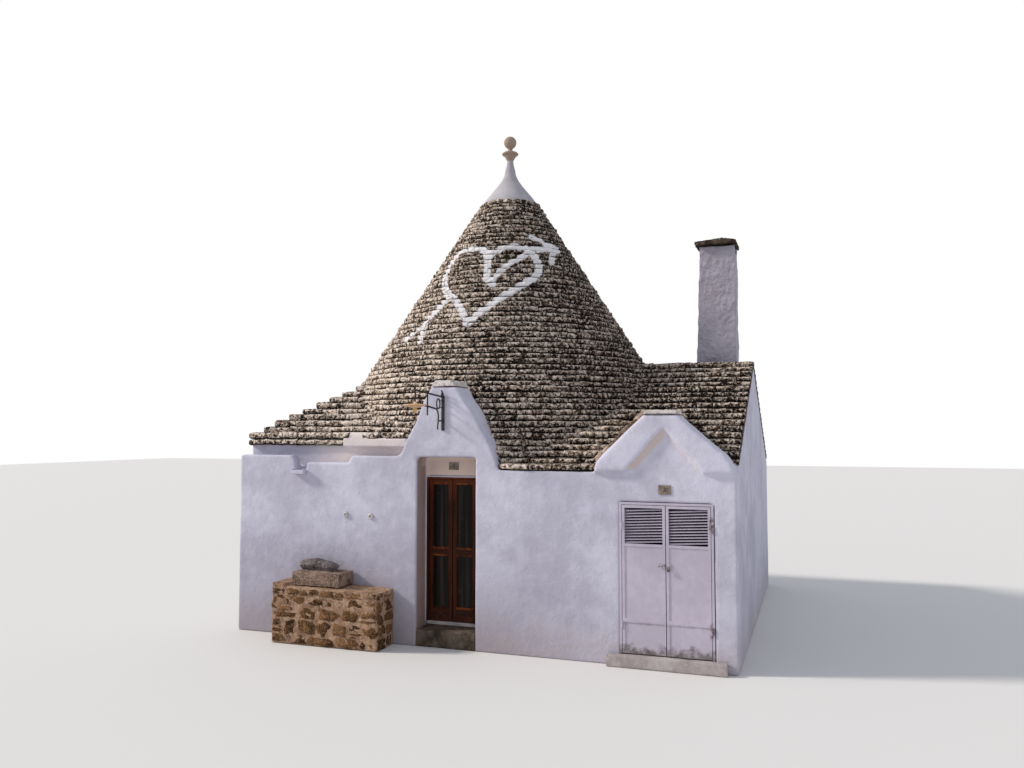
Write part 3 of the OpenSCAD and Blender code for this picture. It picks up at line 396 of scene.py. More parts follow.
def roof_slab_stone(name, signed=False, shade=0.0):
    """Dry-laid limestone: brown with age, flecked with pale lichen, with painted shade in the joints, a
    painted highlight along each slab's top edge and painted shade on the right side. shade darkens it
    all further, as painted shade.
    """
    f = Finish(name, roughness=0.93, shine=0.08)
    tone = f.attribute("stone_tone")
    rim = f.attribute("rim")
    crown = f.attribute("crown")
    elsewhere = f.vector("ADD", f.place, (7.3, 2.1, 4.7))
    grit = f.noise(21, 4, 0.75)
    mottle = f.noise(7, 4, 0.7)
    region = f.noise(0.8, 3)
    # Painted shade darkens the right side, away from the sun; the top is darker too
    right_shade_and_dark_top = f.rise(f.x, -1.6, 2.2) * 0.34 + f.rise(f.z, 3.6, 6.2) * 0.20
    amount = (grit - 0.5) * 4.1 + (mottle - 0.5) * 1.2 + (tone - 0.5) * 0.20 + (region - 0.5) * 0.9
    # crown lightens each slab's top edge as a painted highlight
    amount = amount + crown * 0.26 + (0.58 - shade) - right_shade_and_dark_top
    stone = f.node("ShaderNodeValToRGB", {"Fac": amount}, stops=(
        (0.00, (0.007, 0.005, 0.004)),
        (0.25, (0.040, 0.026, 0.018)),
        (0.50, (0.155, 0.107, 0.076)),
        (0.75, (0.405, 0.308, 0.240)),
        (1.00, (0.760, 0.640, 0.545))))
    fleck = f.rise(f.noise(26, 3, 0.7, place=elsewhere) + crown * 0.06 + (mottle - 0.5) * 0.3, 0.555, 0.605)
    colour = f.mix(fleck * (0.95 - shade - right_shade_and_dark_top), stone, (0.90, 0.790, 0.695))
    pits = f.fall(f.noise(24, 3, 0.75, place=elsewhere) + crown * 0.03, 0.410, 0.460)
    colour = f.mix(pits * 0.94, colour, (0.010, 0.007, 0.005))
    # Painted shade in the joints: black along the slabs' rounded edges, most under each slab
    joint = f.rise(rim + (grit - 0.5) * 1.1, 0.30, 0.64)
    if signed:
        # Sun and rain have worn the strokes most on the side that faces left
        painted = sign_mask(f)
        kept = f.rise(f.x, -0.4, 0.6) * 0.22
        worn = f.rise(f.noise(24, 4, 0.75) + kept + tone * 0.05, 0.37, 0.51)
        colour = f.mix(painted * worn, colour, (0.90, 0.875, 0.90))
        joint = joint * (1 - painted * 0.75)
    f.colour(f.mix(joint * 0.96, colour, (0.008, 0.006, 0.005)))
    f.bump(mottle, 0.030)
    f.bump(grit, 0.022)
    return f.material


def rough_stone(name, dark, light, scale, relief, pits=0.35, patch=None, patch_share=0.0, tones=0.0,
                grit=0.0):
    """Weathered stone between two colours, with pits, pale grit and patches of lime or lichen. tones
    is how far each stone of a mesh that has its own tone differs from the next."""
    f = Finish(name, roughness=0.92, shine=0.12)
    broad = f.noise(scale * 0.35, 3)
    grain = f.noise(scale, 5, 0.65)
    fine = f.noise(scale * 9, 4, 0.7)
    share = broad * 0.4 + grain * 0.4 + fine * 0.2
    if tones:
        share = share + (f.attribute("stone_tone") - 0.5) * tones
    colour = f.mix(f.rise(share, 0.36, 0.64), dark, light)
    if patch:
        low = 0.66 - 0.25 * patch_share
        cover = f.noise(scale * 0.9, 5, 0.7) * 0.7 + fine * 0.3
        colour = f.mix(f.rise(cover, low, low + 0.07) * 0.85, colour, patch)
    coarse = f.noise(scale * 4, 4, 0.7)
    if grit:
        pale = tuple(min(c * 1.9, 0.9) for c in light)
        colour = f.mix(f.fall(coarse, 0.40, 0.47) * grit, colour, pale)
    holes = f.rise(coarse, 0.60 - 0.06 * grit, 0.70 - 0.08 * grit)
    colour = f.mix(holes * pits, colour, tuple(c * 0.35 for c in dark))
    f.colour(colour)
    f.bump(grain, relief * 1.6)
    f.bump(1 - holes, relief * 0.6)
    f.bump(fine, relief * 0.35)
    return f.material


def wood(name, rails, x_range=None):
    """Varnished wood. Its grain runs up the stiles, and across the rails, which are given by their
    lower and upper edges and lie between two places in X."""
    f = Finish(name, roughness=0.5, shine=0.12)
    upright = f.stretched(60, 60, 2.6)
    across = f.stretched(2.6, 60, 60)
    lying = 0.0
    edges = 0.0
    for low, high in rails:
        lying = f.math("GREATER_THAN", f.z, low) * f.math("LESS_THAN", f.z, high) + lying
        for edge in (low, high):
            edges = f.near(f.z, edge, 0.004, 0.022) + edges
    if x_range:
        inside = f.math("GREATER_THAN", f.x, x_range[0]) * f.math("LESS_THAN", f.x, x_range[1])
        lying = lying * inside
        edges = edges * inside
    grain = f.noise(1.0, 5, 0.6, place=upright, distortion=0.3)
    rings = f.noise(0.35, 3, 0.5, place=upright)
    grain = grain + (f.noise(1.0, 5, 0.6, place=across, distortion=0.3) - grain) * lying
    rings = rings + (f.noise(0.35, 3, 0.5, place=across) - rings) * lying
    figure = f.rise(grain * 0.6 + rings * 0.4, 0.34, 0.66)
    tone = f.mix(figure, (0.008, 0.0024, 0.0012), (0.068, 0.0140, 0.0038))
    # Painted light: the upper part of the leaves is lighter and more orange
    painted_top_light = f.rise(f.z + (f.noise(5, 3) - 0.5) * 0.5, 1.7, 2.25) * 0.30
    tone = f.mix(painted_top_light, tone, (0.24, 0.060, 0.016))
    # Painted highlight in orange along the rails' upper and lower edges, broken into patches
    worn = f.rise(f.noise(7, 4, 0.7), 0.44, 0.60) * 0.75
    tone = f.mix(edges * worn, tone, (0.24, 0.062, 0.015))
    dust = f.fall(f.z, 0.28, 0.46) * f.rise(f.noise(30, 4, 0.7), 0.45, 0.70) * 0.20
    f.colour(f.mix(dust, tone, (0.20, 0.14, 0.10)))
    f.paint("Roughness", 0.42 + f.noise(14, 3) * 0.25)
    f.bump(grain, 0.0012)
    return f.material


def glass_panes():
    """Dark panes with a net curtain behind them, hung from the top of each pane."""
    f = Finish("glass", roughness=0.14, shine=0.10)
    fold = f.noise(1.0, 3, 0.5, place=f.stretched(24, 1, 0.6))
    thread = f.noise(220, 1)
    net = f.rise(fold, 0.46, 0.72) * 0.60 + f.rise(thread, 0.45, 0.60) * 0.08
    inside = f.mix(net, (0.0035, 0.0025, 0.002), (0.042, 0.030, 0.024))
    smear = f.rise(f.noise(9, 4, 0.6), 0.58, 0.74) * 0.10
    f.colour(f.mix(smear, inside, (0.13, 0.12, 0.115)))
    f.paint("Roughness", 0.10 + f.noise(24, 3) * 0.16)
    return f.material


def painted_steel(name, shade=1.0):
    """White paint with spots of rust, grime by the hinges, and grey with damp at the foot."""
    f = Finish(name, roughness=0.48)
    broad = f.noise(1.7, 4, 0.6)
    cloudy = f.noise(10, 5, 0.65)
    fine = f.noise(90, 3, 0.6)
    # The white and grey are dimmed and turned lilac by painted shade
    white = tuple(c * shade for c in (0.548, 0.495, 0.600))
    grey = tuple(c * shade for c in (0.465, 0.419, 0.512))
    tone = f.mix(f.rise(broad * 0.6 + cloudy * 0.4, 0.38, 0.64), grey, white)
    runs = f.noise(1.0, 5, 0.65, place=f.stretched(16, 16, 1.3))
    tone = f.mix(f.rise(runs, 0.60, 0.80) * 0.26, tone, (0.36, 0.30, 0.27))
    # The lower rail's dirt, and paint that damp lifts off the foot
    ledge = f.near(f.z, LOWER_RAIL, 0.0, 0.035) * f.rise(runs * 0.5 + fine * 0.5, 0.42, 0.62)
    tone = f.mix(ledge * 0.55, tone, (0.20, 0.16, 0.145))
    damp = f.fall(f.z + (cloudy - 0.5) * 0.34 + (runs - 0.5) * 0.10, 0.15, 0.28)
    spots = f.rise(fine * 0.5 + cloudy * 0.5, 0.40, 0.60)
    stain = f.mix(spots, (0.075, 0.060, 0.055), (0.30, 0.265, 0.255))
    tone = f.mix(damp * 0.92, tone, stain)
    # Rust and grime by the two hinges of the right leaf
    by_hinges = f.near(f.z, HINGE_HEIGHTS[0], 0.04, 0.12) + f.near(f.z, HINGE_HEIGHTS[1], 0.05, 0.14)
    at_edge = f.rise(f.x, STORE_RIGHT - 0.065, STORE_RIGHT - 0.038)
    grime = by_hinges * at_edge * f.rise(f.noise(22, 5, 0.7), 0.40, 0.54)
    tone = f.mix(grime * 0.85, tone, (0.105, 0.078, 0.062))
    rust = f.rise(f.noise(34, 5, 0.75) + broad * 0.12, 0.725, 0.78)
    f.colour(f.mix(rust * 0.85, tone, (0.17, 0.055, 0.022)))
    f.paint("Roughness", 0.42 + rust * 0.4 + cloudy * 0.12)
    f.bump(cloudy, 0.0015)
    f.bump(1 - damp, 0.0008)
    f.bump(1 - rust, 0.0006)
    return f.material


def plain_finish(name, dark, light, scale, roughness, metallic=0.0, coat=0.0):
    """Two colours that change softly over the surface, for small fittings."""
    f = Finish(name, roughness=roughness, metallic=metallic, coat=coat)
    tone = f.noise(scale, 5, 0.65)
    f.colour(f.mix(f.rise(tone, 0.36, 0.66), dark, light))
    f.paint("Roughness", roughness + (f.noise(scale * 1.7, 3) - 0.5) * 0.25)
    f.bump(f.noise(scale * 3, 4, 0.6), 0.0008)
    return f.material


def cap_limewash():
    """Whitewashed cap stones, brown with lichen where the paint is gone."""
    f = Finish("cap_lime", roughness=0.9)
    patches = f.noise(13, 5, 0.7)
    fine = f.noise(60, 4, 0.7)
    white = f.mix(f.rise(f.noise(5, 3), 0.35, 0.65), (0.56, 0.51, 0.48), (0.76, 0.70, 0.68))
    bare = f.rise(patches * 0.65 + fine * 0.35, 0.53, 0.61)
    brown = f.mix(fine, (0.10, 0.072, 0.050), (0.34, 0.27, 0.20))
    f.colour(f.mix(bare * 0.75, white, brown))
    f.bump(patches, 0.012)
    f.bump(1 - bare, 0.003)
    f.bump(fine, 0.003)
    return f.material


# The solids under the slabs show in the gaps, so their stone is darkened as painted shade
CORE = roof_slab_stone("roof_core", shade=0.10)
LIME = limewash("lime_plaster")
# Painted shade in warm brown on the sides of the entrance's recess, a warm cream on the wall over its
# door, and painted sunlight on the plaster under the eaves beside it
WALL_TINTS_SHADE_AND_LIGHT = (
    ((-0.24, -3.085, 0.10), (0.70, -2.815, 2.50), 0.03, 0.80, (0.285, 0.180, 0.140)),
    ((-0.20, -2.840, 2.16), (0.66, -2.770, 2.47), 0.03, 0.75, (0.740, 0.560, 0.420)),
    ((-2.20, -2.955, 2.30), (0.20, -2.700, 2.82), 0.95, 0.85, (0.780, 0.680, 0.640)),
)
WALL_LIME = limewash("wall_lime_plaster", warmth=WALL_TINTS_SHADE_AND_LIGHT,
                     hood=(NICHE_TOP, NICHE_SPREAD, NICHE_FOOT), foot=0.58)
SLABS = roof_slab_stone("roof_slabs")
SIGNED_SLABS = roof_slab_stone("roof_slabs_with_sign", signed=True)
CAP_LIME = cap_limewash()
# The cap's limewash is darkened as painted shade
SHADED_PEAK_LIME = limewash("peak_lime", tint=(0.42, 0.400, 0.430), dirt=0.4, lumps=0.003)
BALL_LIME = limewash("ball_lime", tint=(0.37, 0.275, 0.205), dirt=0.4, lumps=0.003)
# The chimney's limewash is darkened as painted shade; its runs are stains
SHADED_CHIMNEY_LIME = limewash("chimney_lime", tint=(0.405, 0.375, 0.445), dirt=2.2, lumps=0.036)
DARK_STONE = rough_stone("dark_slab", (0.010, 0.007, 0.005), (0.130, 0.095, 0.070), 20, 0.014, 0.8,
                         patch=(0.46, 0.40, 0.34), patch_share=0.38)
RUBBLE = rough_stone("rubble", (0.020, 0.009, 0.004), (0.200, 0.104, 0.048), 15, 0.012, 0.8,
                     patch=(0.44, 0.31, 0.21), patch_share=0.40, tones=0.16, grit=0.7)
MORTAR = rough_stone("mortar", (0.14, 0.073, 0.041), (0.47, 0.305, 0.205), 19, 0.014, 0.6,
                     patch=(0.60, 0.45, 0.35), patch_share=0.45, grit=0.4)
BLOCK_STONE = rough_stone("block_stone", (0.075, 0.046, 0.034), (0.36, 0.258, 0.205), 15, 0.012, 0.8,
                          patch=(0.53, 0.41, 0.335), patch_share=0.35, grit=0.45)
ROUND_STONE = rough_stone("round_stone", (0.034, 0.027, 0.027), (0.215, 0.180, 0.178), 15, 0.012, 0.8,
                          patch=(0.42, 0.36, 0.33), patch_share=0.35, grit=0.45)
STEP_STONE = rough_stone("step_stone", (0.034, 0.024, 0.018), (0.150, 0.115, 0.088), 13, 0.007, 0.6,
                         patch=(0.36, 0.31, 0.26), patch_share=0.26)
SILL_STONE = rough_stone("sill_stone", (0.27, 0.235, 0.225), (0.50, 0.450, 0.445), 8, 0.004,
                         patch=(0.60, 0.57, 0.58), patch_share=0.35)
FLAGS = rough_stone("floor_stone", (0.22, 0.18, 0.14), (0.42, 0.36, 0.29), 4, 0.003)
BEIGE_SLABS = rough_stone("beige_slabs", (0.17, 0.11, 0.070), (0.62, 0.48, 0.37), 20, 0.010, 0.7,
                          patch=(0.80, 0.70, 0.61), patch_share=0.40, tones=0.25)
LEAF_RAILS = ((0.0, PANE_SPANS[0][0]), (PANE_SPANS[0][1], PANE_SPANS[1][0]), (PANE_SPANS[1][1], LEAF_TOP))
WOOD = {side: wood("varnished_wood_" + side, LEAF_RAILS, (start + STILE, start + LEAF_WIDTH - STILE))
        for side, start in LEAF_LEFT.items()}
FRAME_WOOD = wood("varnished_frame", ((FRAME_HEAD, FRAME_HEAD + 0.266),))
BRASS = plain_finish("hinge_metal", (0.12, 0.09, 0.05), (0.30, 0.24, 0.14), 30, 0.4, 0.9)
PANES = glass_panes()
STEEL = painted_steel("painted_steel")
BOLT_STEEL = plain_finish("rusty_bolt", (0.17, 0.105, 0.075), (0.60, 0.555, 0.600), 26, 0.5)
SLATS = painted_steel("painted_slats", 0.88)
PADLOCK = plain_finish("padlock_metal", (0.10, 0.085, 0.06), (0.34, 0.30, 0.22), 40, 0.42, 0.8)
IRON = plain_finish("wrought_iron", (0.012, 0.011, 0.011), (0.040, 0.034, 0.030), 40, 0.55, 0.4)
ENAMEL = plain_finish("aged_enamel", (0.52, 0.30, 0.13), (0.80, 0.56, 0.32), 14, 0.45)
CERAMIC = plain_finish("glazed_ceramic", (0.40, 0.37, 0.36), (0.62, 0.60, 0.62), 25, 0.25, 0.0, 0.5)
PLATE = plain_finish("plate_stone", (0.135, 0.102, 0.078), (0.27, 0.218, 0.182), 22, 0.6)
DIGIT = plain_finish("painted_digits", (0.030, 0.022, 0.022), (0.085, 0.055, 0.050), 40, 0.5)


# Meshes

def new_object(name, data):
    made = bpy.data.objects.new(name, data)
    bpy.context.scene.collection.objects.link(made)
    return made


def set_finish(piece, finish):
    piece.data.materials.clear()
    piece.data.materials.append(finish)


def second_finish(piece, finish, where):
    """Gives a second finish to the faces whose centre passes the test."""
    piece.data.materials.append(finish)
    for face in piece.data.polygons:
        if where(face.center):
            face.material_index = 1


def new_piece(name, mesh, body, finish=None, replaces=()):
    """A visible piece that rides on a body. Without a finish it keeps the mesh's own."""
    piece = new_object(name, mesh)
    if finish:
        set_finish(piece, finish)
    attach(piece, body)
    if replaces:
        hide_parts(*replaces)
    return piece


def to_mesh(bm, name, smooth=False):
    mesh = bpy.data.meshes.new(name)
    bm.to_mesh(mesh)
    bm.free()
    mesh.polygons.foreach_set("use_smooth", [smooth] * len(mesh.polygons))
    return mesh


def cad_mesh(*names):
    """One merged mesh of copies of CAD nodes."""
    bm = bmesh.new()
    for name in names:
        bm.from_mesh(nodes[name].data)
    bmesh.ops.remove_doubles(bm, verts=bm.verts, dist=1e-5)
    return bm


def baked(piece):
    """The piece's mesh with its modifiers applied."""
    graph = bpy.context.evaluated_depsgraph_get()
    graph.update()
    return bpy.data.meshes.new_from_object(piece.evaluated_get(graph), depsgraph=graph)


def add_bar(bm, low, high, ease=0.0):
    """A block between two corners, its edges eased."""
    verts = bmesh.ops.create_cube(bm, size=1.0)["verts"]
    for vert in verts:
        vert.co = Vector(a + (b - a) * (c + 0.5) for a, b, c in zip(Vector(low), Vector(high), vert.co))
    if ease:
        edges = list(dict.fromkeys(edge for vert in verts for edge in vert.link_edges))
        bmesh.ops.bevel(bm, geom=edges, offset=ease, segments=2, profile=0.6, affect="EDGES",
                        clamp_overlap=True)


def add_tube(bm, points, radius, sides=8):
    """A round bar through points, closed at both ends."""
    points = [Vector(point) for point in points]
    rings = []
    side = None
    for i, point in enumerate(points):
        ahead = (points[min(i + 1, len(points) - 1)] - points[max(i - 1, 0)]).normalized()
        if side is None:
            side = ahead.orthogonal().normalized()
        else:
            side = (side - ahead * side.dot(ahead)).normalized()
        over = ahead.cross(side)
        rings.append([bm.verts.new(point + (side * math.cos(a) + over * math.sin(a)) * radius)
                      for a in (2 * math.pi * k / sides for k in range(sides))])
    for first, second in zip(rings, rings[1:]):
        for k in range(sides):
            m = (k + 1) % sides
            bm.faces.new((first[k], first[m], second[m], second[k]))
    bm.faces.new(rings[0][::-1])
    bm.faces.new(rings[-1])


def lathe(profile, place, count=64):
    """A turned form about the Z axis, moved to its place, from (radius, height) pairs that start and
    end on the axis."""
    bm = bmesh.new()
    rings = []
    for radius, height in profile:
        if radius == 0:
            rings.append([bm.verts.new((0, 0, height))])
        else:
            rings.append([bm.verts.new((radius * math.cos(a), radius * math.sin(a), height))
                          for a in (2 * math.pi * k / count for k in range(count))])
    for low, high in zip(rings, rings[1:]):
        for k in range(count):
            m = (k + 1) % count
            corners = (low[k % len(low)], low[m % len(low)], high[m % len(high)], high[k % len(high)])
            bm.faces.new(tuple(dict.fromkeys(corners)))
    bmesh.ops.recalc_face_normals(bm, faces=bm.faces)
    bm.transform(place)
    return bm


def weathered(bm, voxel, wear, scale, triangles, smoothing, seed):
    """Turns blocks into one worn mesh: edges rounded, faces worn inwards by up to wear."""
    work = new_object("work", to_mesh(bm, "work"))
    remesh = work.modifiers.new("voxels", "REMESH")
    remesh.mode = "VOXEL"
    remesh.voxel_size = voxel
    soften = work.modifiers.new("soften", "SMOOTH")
    soften.factor = 0.5
    soften.iterations = smoothing
    mesh = baked(work)
    work.modifiers.clear()
    offset = Vector((seed * 3.7, seed * 1.3, seed * 2.1))
    moved = []
    for vert in mesh.vertices:
        spot = vert.co * scale + offset
        depth = 0.5 + 0.38 * noise.noise(spot) + 0.22 * noise.noise(spot * 2.7)
        moved.extend(vert.co - vert.normal * (wear * min(1.0, max(0.0, depth))))
    mesh.vertices.foreach_set("co", moved)
    work.data = mesh
    mesh.calc_loop_triangles()
    share = triangles / max(1, len(mesh.loop_triangles))
    if share < 1.0:
        thin = work.modifiers.new("thin", "DECIMATE")
        thin.ratio = share
        mesh = baked(work)
    bpy.data.objects.remove(work)
    mesh.polygons.foreach_set("use_smooth", [True] * len(mesh.polygons))
    return mesh


def worn_piece(name, cad_names, finish, seed, voxel, wear, scale, triangles, smoothing=2, bars=()):
    """Replaces CAD nodes of the house by one worn mesh, with added bars of plaster. scale is that of
    the wear's pattern."""
    bm = cad_mesh(*cad_names)
    for low, high in bars:
        add_bar(bm, low, high)
    mesh = weathered(bm, voxel, wear, scale, triangles, smoothing, seed)
    return new_piece(name, mesh, "house", finish, cad_names)


def eased_copy(cad_name, width, where=None):
    """A merged copy of a CAD node whose sharp edges are rounded, or those where the test is true."""
    bm = cad_mesh(cad_name)
    bmesh.ops.dissolve_limit(bm, angle_limit=math.radians(0.5), verts=bm.verts, edges=bm.edges)
    edges = [edge for edge in bm.edges if edge.is_manifold and edge.calc_face_angle(0) > math.radians(50)
             and (where is None or where((edge.verts[0].co + edge.verts[1].co) / 2))]
    bmesh.ops.bevel(bm, geom=edges, offset=width, segments=2, profile=0.6, affect="EDGES",
                    clamp_overlap=True)
    return bm


def eased_piece(name, cad_name, body, finish, width):
    """Replaces a CAD node by its eased copy."""
    return new_piece(name, to_mesh(eased_copy(cad_name, width), name), body, finish, (cad_name,))


# Roof slabs

def unit_slab():
    """A slab of one metre each way: its face at Y 0, its back at Y 1, its bed at Z 0. The edges of
    its face are rounded. rim is 1 at those edges, where the finish paints shade into the joints, and
    crown is 1 along the top edge of the face, where the finish paints a highlight."""
    # Y, Z, rim and crown of each corner of the section: painted joint shade and painted highlight
    section = ((1.0, 0.0, 0.35, 0.3), (0.24, 0.0, 1.0, 0.0), (0.10, 0.08, 1.0, 0.0),
               (0.020, 0.20, 0.50, 0.0), (0.0, 0.42, 0.05, 0.15), (0.0, 0.70, 0.0, 0.7),
               (0.05, 0.91, 0.10, 1.0), (0.20, 1.0, 0.38, 0.7), (1.0, 1.0, 0.15, 0.3))
    stations = (-0.5, -0.46, -0.30, -0.10, 0.10, 0.30, 0.46, 0.5)
    bm = bmesh.new()
    rim = bm.verts.layers.float.new("rim")
    crown = bm.verts.layers.float.new("crown")
    rows = []
    for along in stations:
        end = abs(along) == 0.5
        row = []
        # shade and dust below are the corner's rim and crown: painted joint shade and a painted highlight
        for y, z, shade, dust in section:
            recess = 0.04 if end and y < 0.5 else 0.0
            vert = bm.verts.new((along, y + recess, z))
            vert[rim] = 0.8 if end else shade
            vert[crown] = 0.0 if end else dust
            row.append(vert)
        rows.append(row)
    count = len(section)
    for first, second in zip(rows, rows[1:]):
        for k in range(count):
            m = (k + 1) % count
            bm.faces.new((first[k], second[k], second[m], first[m]))
    # The end faces show at the roof's corners, so they have corners of their own, made as pale as the
    # front with a painted highlight and less painted joint shade
    for row in (rows[0], rows[-1][::-1]):
        end = []
        for vert in row:
            twin = bm.verts.new(vert.co)
            twin[rim] = 0.25
            twin[crown] = 0.35
            end.append(twin)
        bm.faces.new(end)
    return new_object("slab", to_mesh(bm, "slab"))


def slab_layer():
    """The tree that lays slabs along course lines. Each point of a line says which way the slabs
    face, in outward, how high its course is, in rise, and how long its slabs are, in pitch. Nothing
    stands out past the planes given by Low and High."""
    tree = bpy.data.node_groups.new("slab layer", "GeometryNodeTree")
    for name, kind in (("Courses", "Geometry"), ("Slab", "Object"), ("Depth", "Float"),
                       ("Joint", "Float"), ("Tilt", "Float"), ("Looseness", "Float"),
                       ("Chipping", "Float"), ("Low", "Vector"), ("High", "Vector"),
                       ("Finish", "Material")):
        tree.interface.new_socket(name, in_out="INPUT", socket_type="NodeSocket" + kind)
    tree.interface.new_socket("Slabs", in_out="OUTPUT", socket_type="NodeSocketGeometry")
    g = Graph(tree)
    entry = tree.nodes.new("NodeGroupInput")
    given = {socket.name: Value(g, socket) for socket in entry.outputs if socket.name}

    def chance(low, high, seed):
        return g.node("FunctionNodeRandomValue", {2: low, 3: high, "Seed": seed}, out=1, data_type="FLOAT")

    lines = g.node("GeometryNodeMeshToCurve", {"Mesh": given["Courses"]})
    pitch = g.node("GeometryNodeInputNamedAttribute", {"Name": "pitch"}, data_type="FLOAT")
    stops = g.node("GeometryNodeResampleCurve", {"Curve": lines, "Length": pitch}, mode="LENGTH")
    outward = g.node("GeometryNodeInputNamedAttribute", {"Name": "outward"}, data_type="FLOAT_VECTOR")
    course = g.node("GeometryNodeInputNamedAttribute", {"Name": "rise"}, data_type="FLOAT")
    inward = g.vector("SCALE", outward, scale=-1.0)
    up = g.vector("ADD", g.vector("SCALE", outward, scale=given["Tilt"]), (0.0, 0.0, 1.0))
    along = g.vector("CROSS_PRODUCT", outward, (0.0, 0.0, 1.0))
    loose = given["Looseness"]
    shift = g.vector("ADD",
                     g.vector("SCALE", along, scale=pitch * chance(-0.12, 0.12, 11)),
                     g.vector("SCALE", outward, scale=loose * chance(-0.5, 1.5, 12)))
    shift = g.vector("ADD", shift, g.xyz(0.0, 0.0, chance(-0.004, 0.004, 17)))
    stops = g.node("GeometryNodeSetPosition", {"Geometry": stops, "Offset": shift})
    turn = g.node("FunctionNodeAxesToRotation", {0: up, 1: inward},
                  primary_axis="Z", secondary_axis="Y")
    wobble = g.node("FunctionNodeRandomValue", {
        0: (-0.015, -0.03, -0.05), 1: (0.015, 0.03, 0.05), "Seed": 13}, out=0, data_type="FLOAT_VECTOR")
    turn = g.node("FunctionNodeRotateRotation", {
        "Rotation": turn, "Rotate By": g.node("FunctionNodeEulerToRotation", {0: wobble})},
        rotation_space="LOCAL")
    size = g.xyz(pitch * chance(1.06, 1.32, 14), given["Depth"],
                 (course - given["Joint"]) * chance(0.93, 1.07, 15))
    block = g.node("GeometryNodeObjectInfo", {"Object": given["Slab"]}, out="Geometry")
    slabs = g.node("GeometryNodeInstanceOnPoints", {
        "Points": stops, "Instance": block, "Rotation": turn, "Scale": size})
    slabs = g.node("GeometryNodeStoreNamedAttribute", {
        "Geometry": slabs, "Name": "stone_tone", "Value": chance(0.0, 1.0, 16)},
        data_type="FLOAT", domain="INSTANCE")
    slabs = g.node("GeometryNodeRealizeInstances", {"Geometry": slabs})
    for scale, share in ((7.0, 1.0), (24.0, 0.7)):
        rough = g.node("ShaderNodeTexNoise", {"Scale": scale, "Detail": 2.0, "Roughness": 0.7}, out="Color")
        centred = g.vector("SUBTRACT", rough, (0.5, 0.5, 0.5))
        chips = g.vector("SCALE", centred, scale=given["Chipping"] * share)
        slabs = g.node("GeometryNodeSetPosition", {"Geometry": slabs, "Offset": chips})
    kept = g.vector("MINIMUM", g.vector("MAXIMUM", g.node("GeometryNodeInputPosition"), given["Low"]),
                    given["High"])
    slabs = g.node("GeometryNodeSetPosition", {"Geometry": slabs, "Position": kept})
    slabs = g.node("GeometryNodeSetMaterial", {"Geometry": slabs, "Material": given["Finish"]})
    leave = tree.nodes.new("NodeGroupOutput")
    g.plug(slabs, leave.inputs[0])
    return tree


class CourseLines:
    """The lines along which the slabs of a roof are laid."""

    def __init__(self):
        self.points = []
        self.edges = []
        self.outward = []
        self.rise = []
        self.pitch = []

    def line(self, spots, rise, pitch):
        """spots are (point, outward) pairs. A pair of None breaks the line."""
        last = None
        for spot in spots:
            if spot is None:
                last = None
                continue
            point, outward = spot
            self.points.append(point)
            self.outward.append(outward)
            self.rise.append(rise)
            self.pitch.append(pitch)
            here = len(self.points) - 1
            if last is not None:
                self.edges.append((last, here))
            last = here

    def straight(self, places, outward, rise, pitch, shows):
        """A course that faces one way all along, broken where it doesn't show."""
        self.line([(place, outward) if shows(*place) else None for place in places], rise, pitch)

    def lay(self, name, tree, slab, finish, **sizes):
        """The piece of roof that the tree makes along these lines."""
        mesh = bpy.data.meshes.new(name + "_lines")
        mesh.from_pydata(self.points, self.edges, [])
        outward = mesh.attributes.new("outward", "FLOAT_VECTOR", "POINT")
        outward.data.foreach_set("vector", [c for v in self.outward for c in v])
        for label, values in (("rise", self.rise), ("pitch", self.pitch)):
            mesh.attributes.new(label, "FLOAT", "POINT").data.foreach_set("value", values)
        lines = new_object(name + "_lines", mesh)
        modifier = lines.modifiers.new("slabs", "NODES")
        modifier.node_group = tree
        given = {"Slab": slab, "Finish": finish, **sizes}
        for item in tree.interface.items_tree:
            if item.in_out == "INPUT" and item.name in given:
                modifier[item.identifier] = given[item.name]
        result = baked(lines)
        bpy.data.objects.remove(lines)
        return new_piece(name, result, "house")


def entrance_gable_height(x):
    """Height of the entrance gable's masonry, or 0 beside it. Its top is flat over 0.3 of its width."""
    side = abs(x - ENTRANCE_X) / ENTRANCE_HALF
    if side > 1:
        return 0.0
    return ENTRANCE_SHOULDER + (ENTRANCE_RISE if side < 0.3 else ENTRANCE_RISE * (1 - (side - 0.3) / 0.66))


def entrance_roof_height(x, y):
    if not ENTRANCE_BACK < y < ENTRANCE_END - 0.05 or abs(x - ENTRANCE_X) > ENTRANCE_SPREAD:
        return 0.0
    return ENTRANCE_RIDGE - (ENTRANCE_RIDGE - ENTRANCE_EAVES) * abs(x - ENTRANCE_X) / ENTRANCE_SPREAD


def store_saddle_height(x, y):
    if not STORE_BACK < y < STORE_END or abs(x - STORE_X) > STORE_SPREAD:
        return 0.0
    return STORE_RIDGE - (STORE_RIDGE - STORE_EAVES) * abs(x - STORE_X) / STORE_SPREAD


def in_chimney(x, y, margin=0.0):
    return (CHIMNEY_LEFT - margin < x < STORE_RIGHT + margin
            and CHIMNEY_FRONT - margin < y < CHIMNEY_BACK + margin)


def cone_shows(x, y, z):
    """Whether the cone's face is free at a place, and not behind a gable, a roof or the chimney."""
    if y < ENTRANCE_BACK - 0.03 and z < entrance_gable_height(x):
        return False
    if z + 0.07 < max(entrance_roof_height(x, y), store_saddle_height(x, y)):
        return False
    if x > ROOF_LEFT and z + 0.07 < store_roof_height(y):
        return False
    return not in_chimney(x, y)


def ring(lines, z, rise, pitch, radius, turn, shows, sweep=2 * math.pi):
    """A course round the axis, broken where it doesn't show."""
    count = max(48, int(radius * sweep / 0.05))
    spots = []
    for angle in steps(turn, sweep, count):
        outward = (math.cos(angle), math.sin(angle), 0.0)
        x, y = radius * outward[0], radius * outward[1]
        spots.append(((x, y, z), outward) if shows(x, y, z) else None)
    lines.line(spots, rise, pitch)


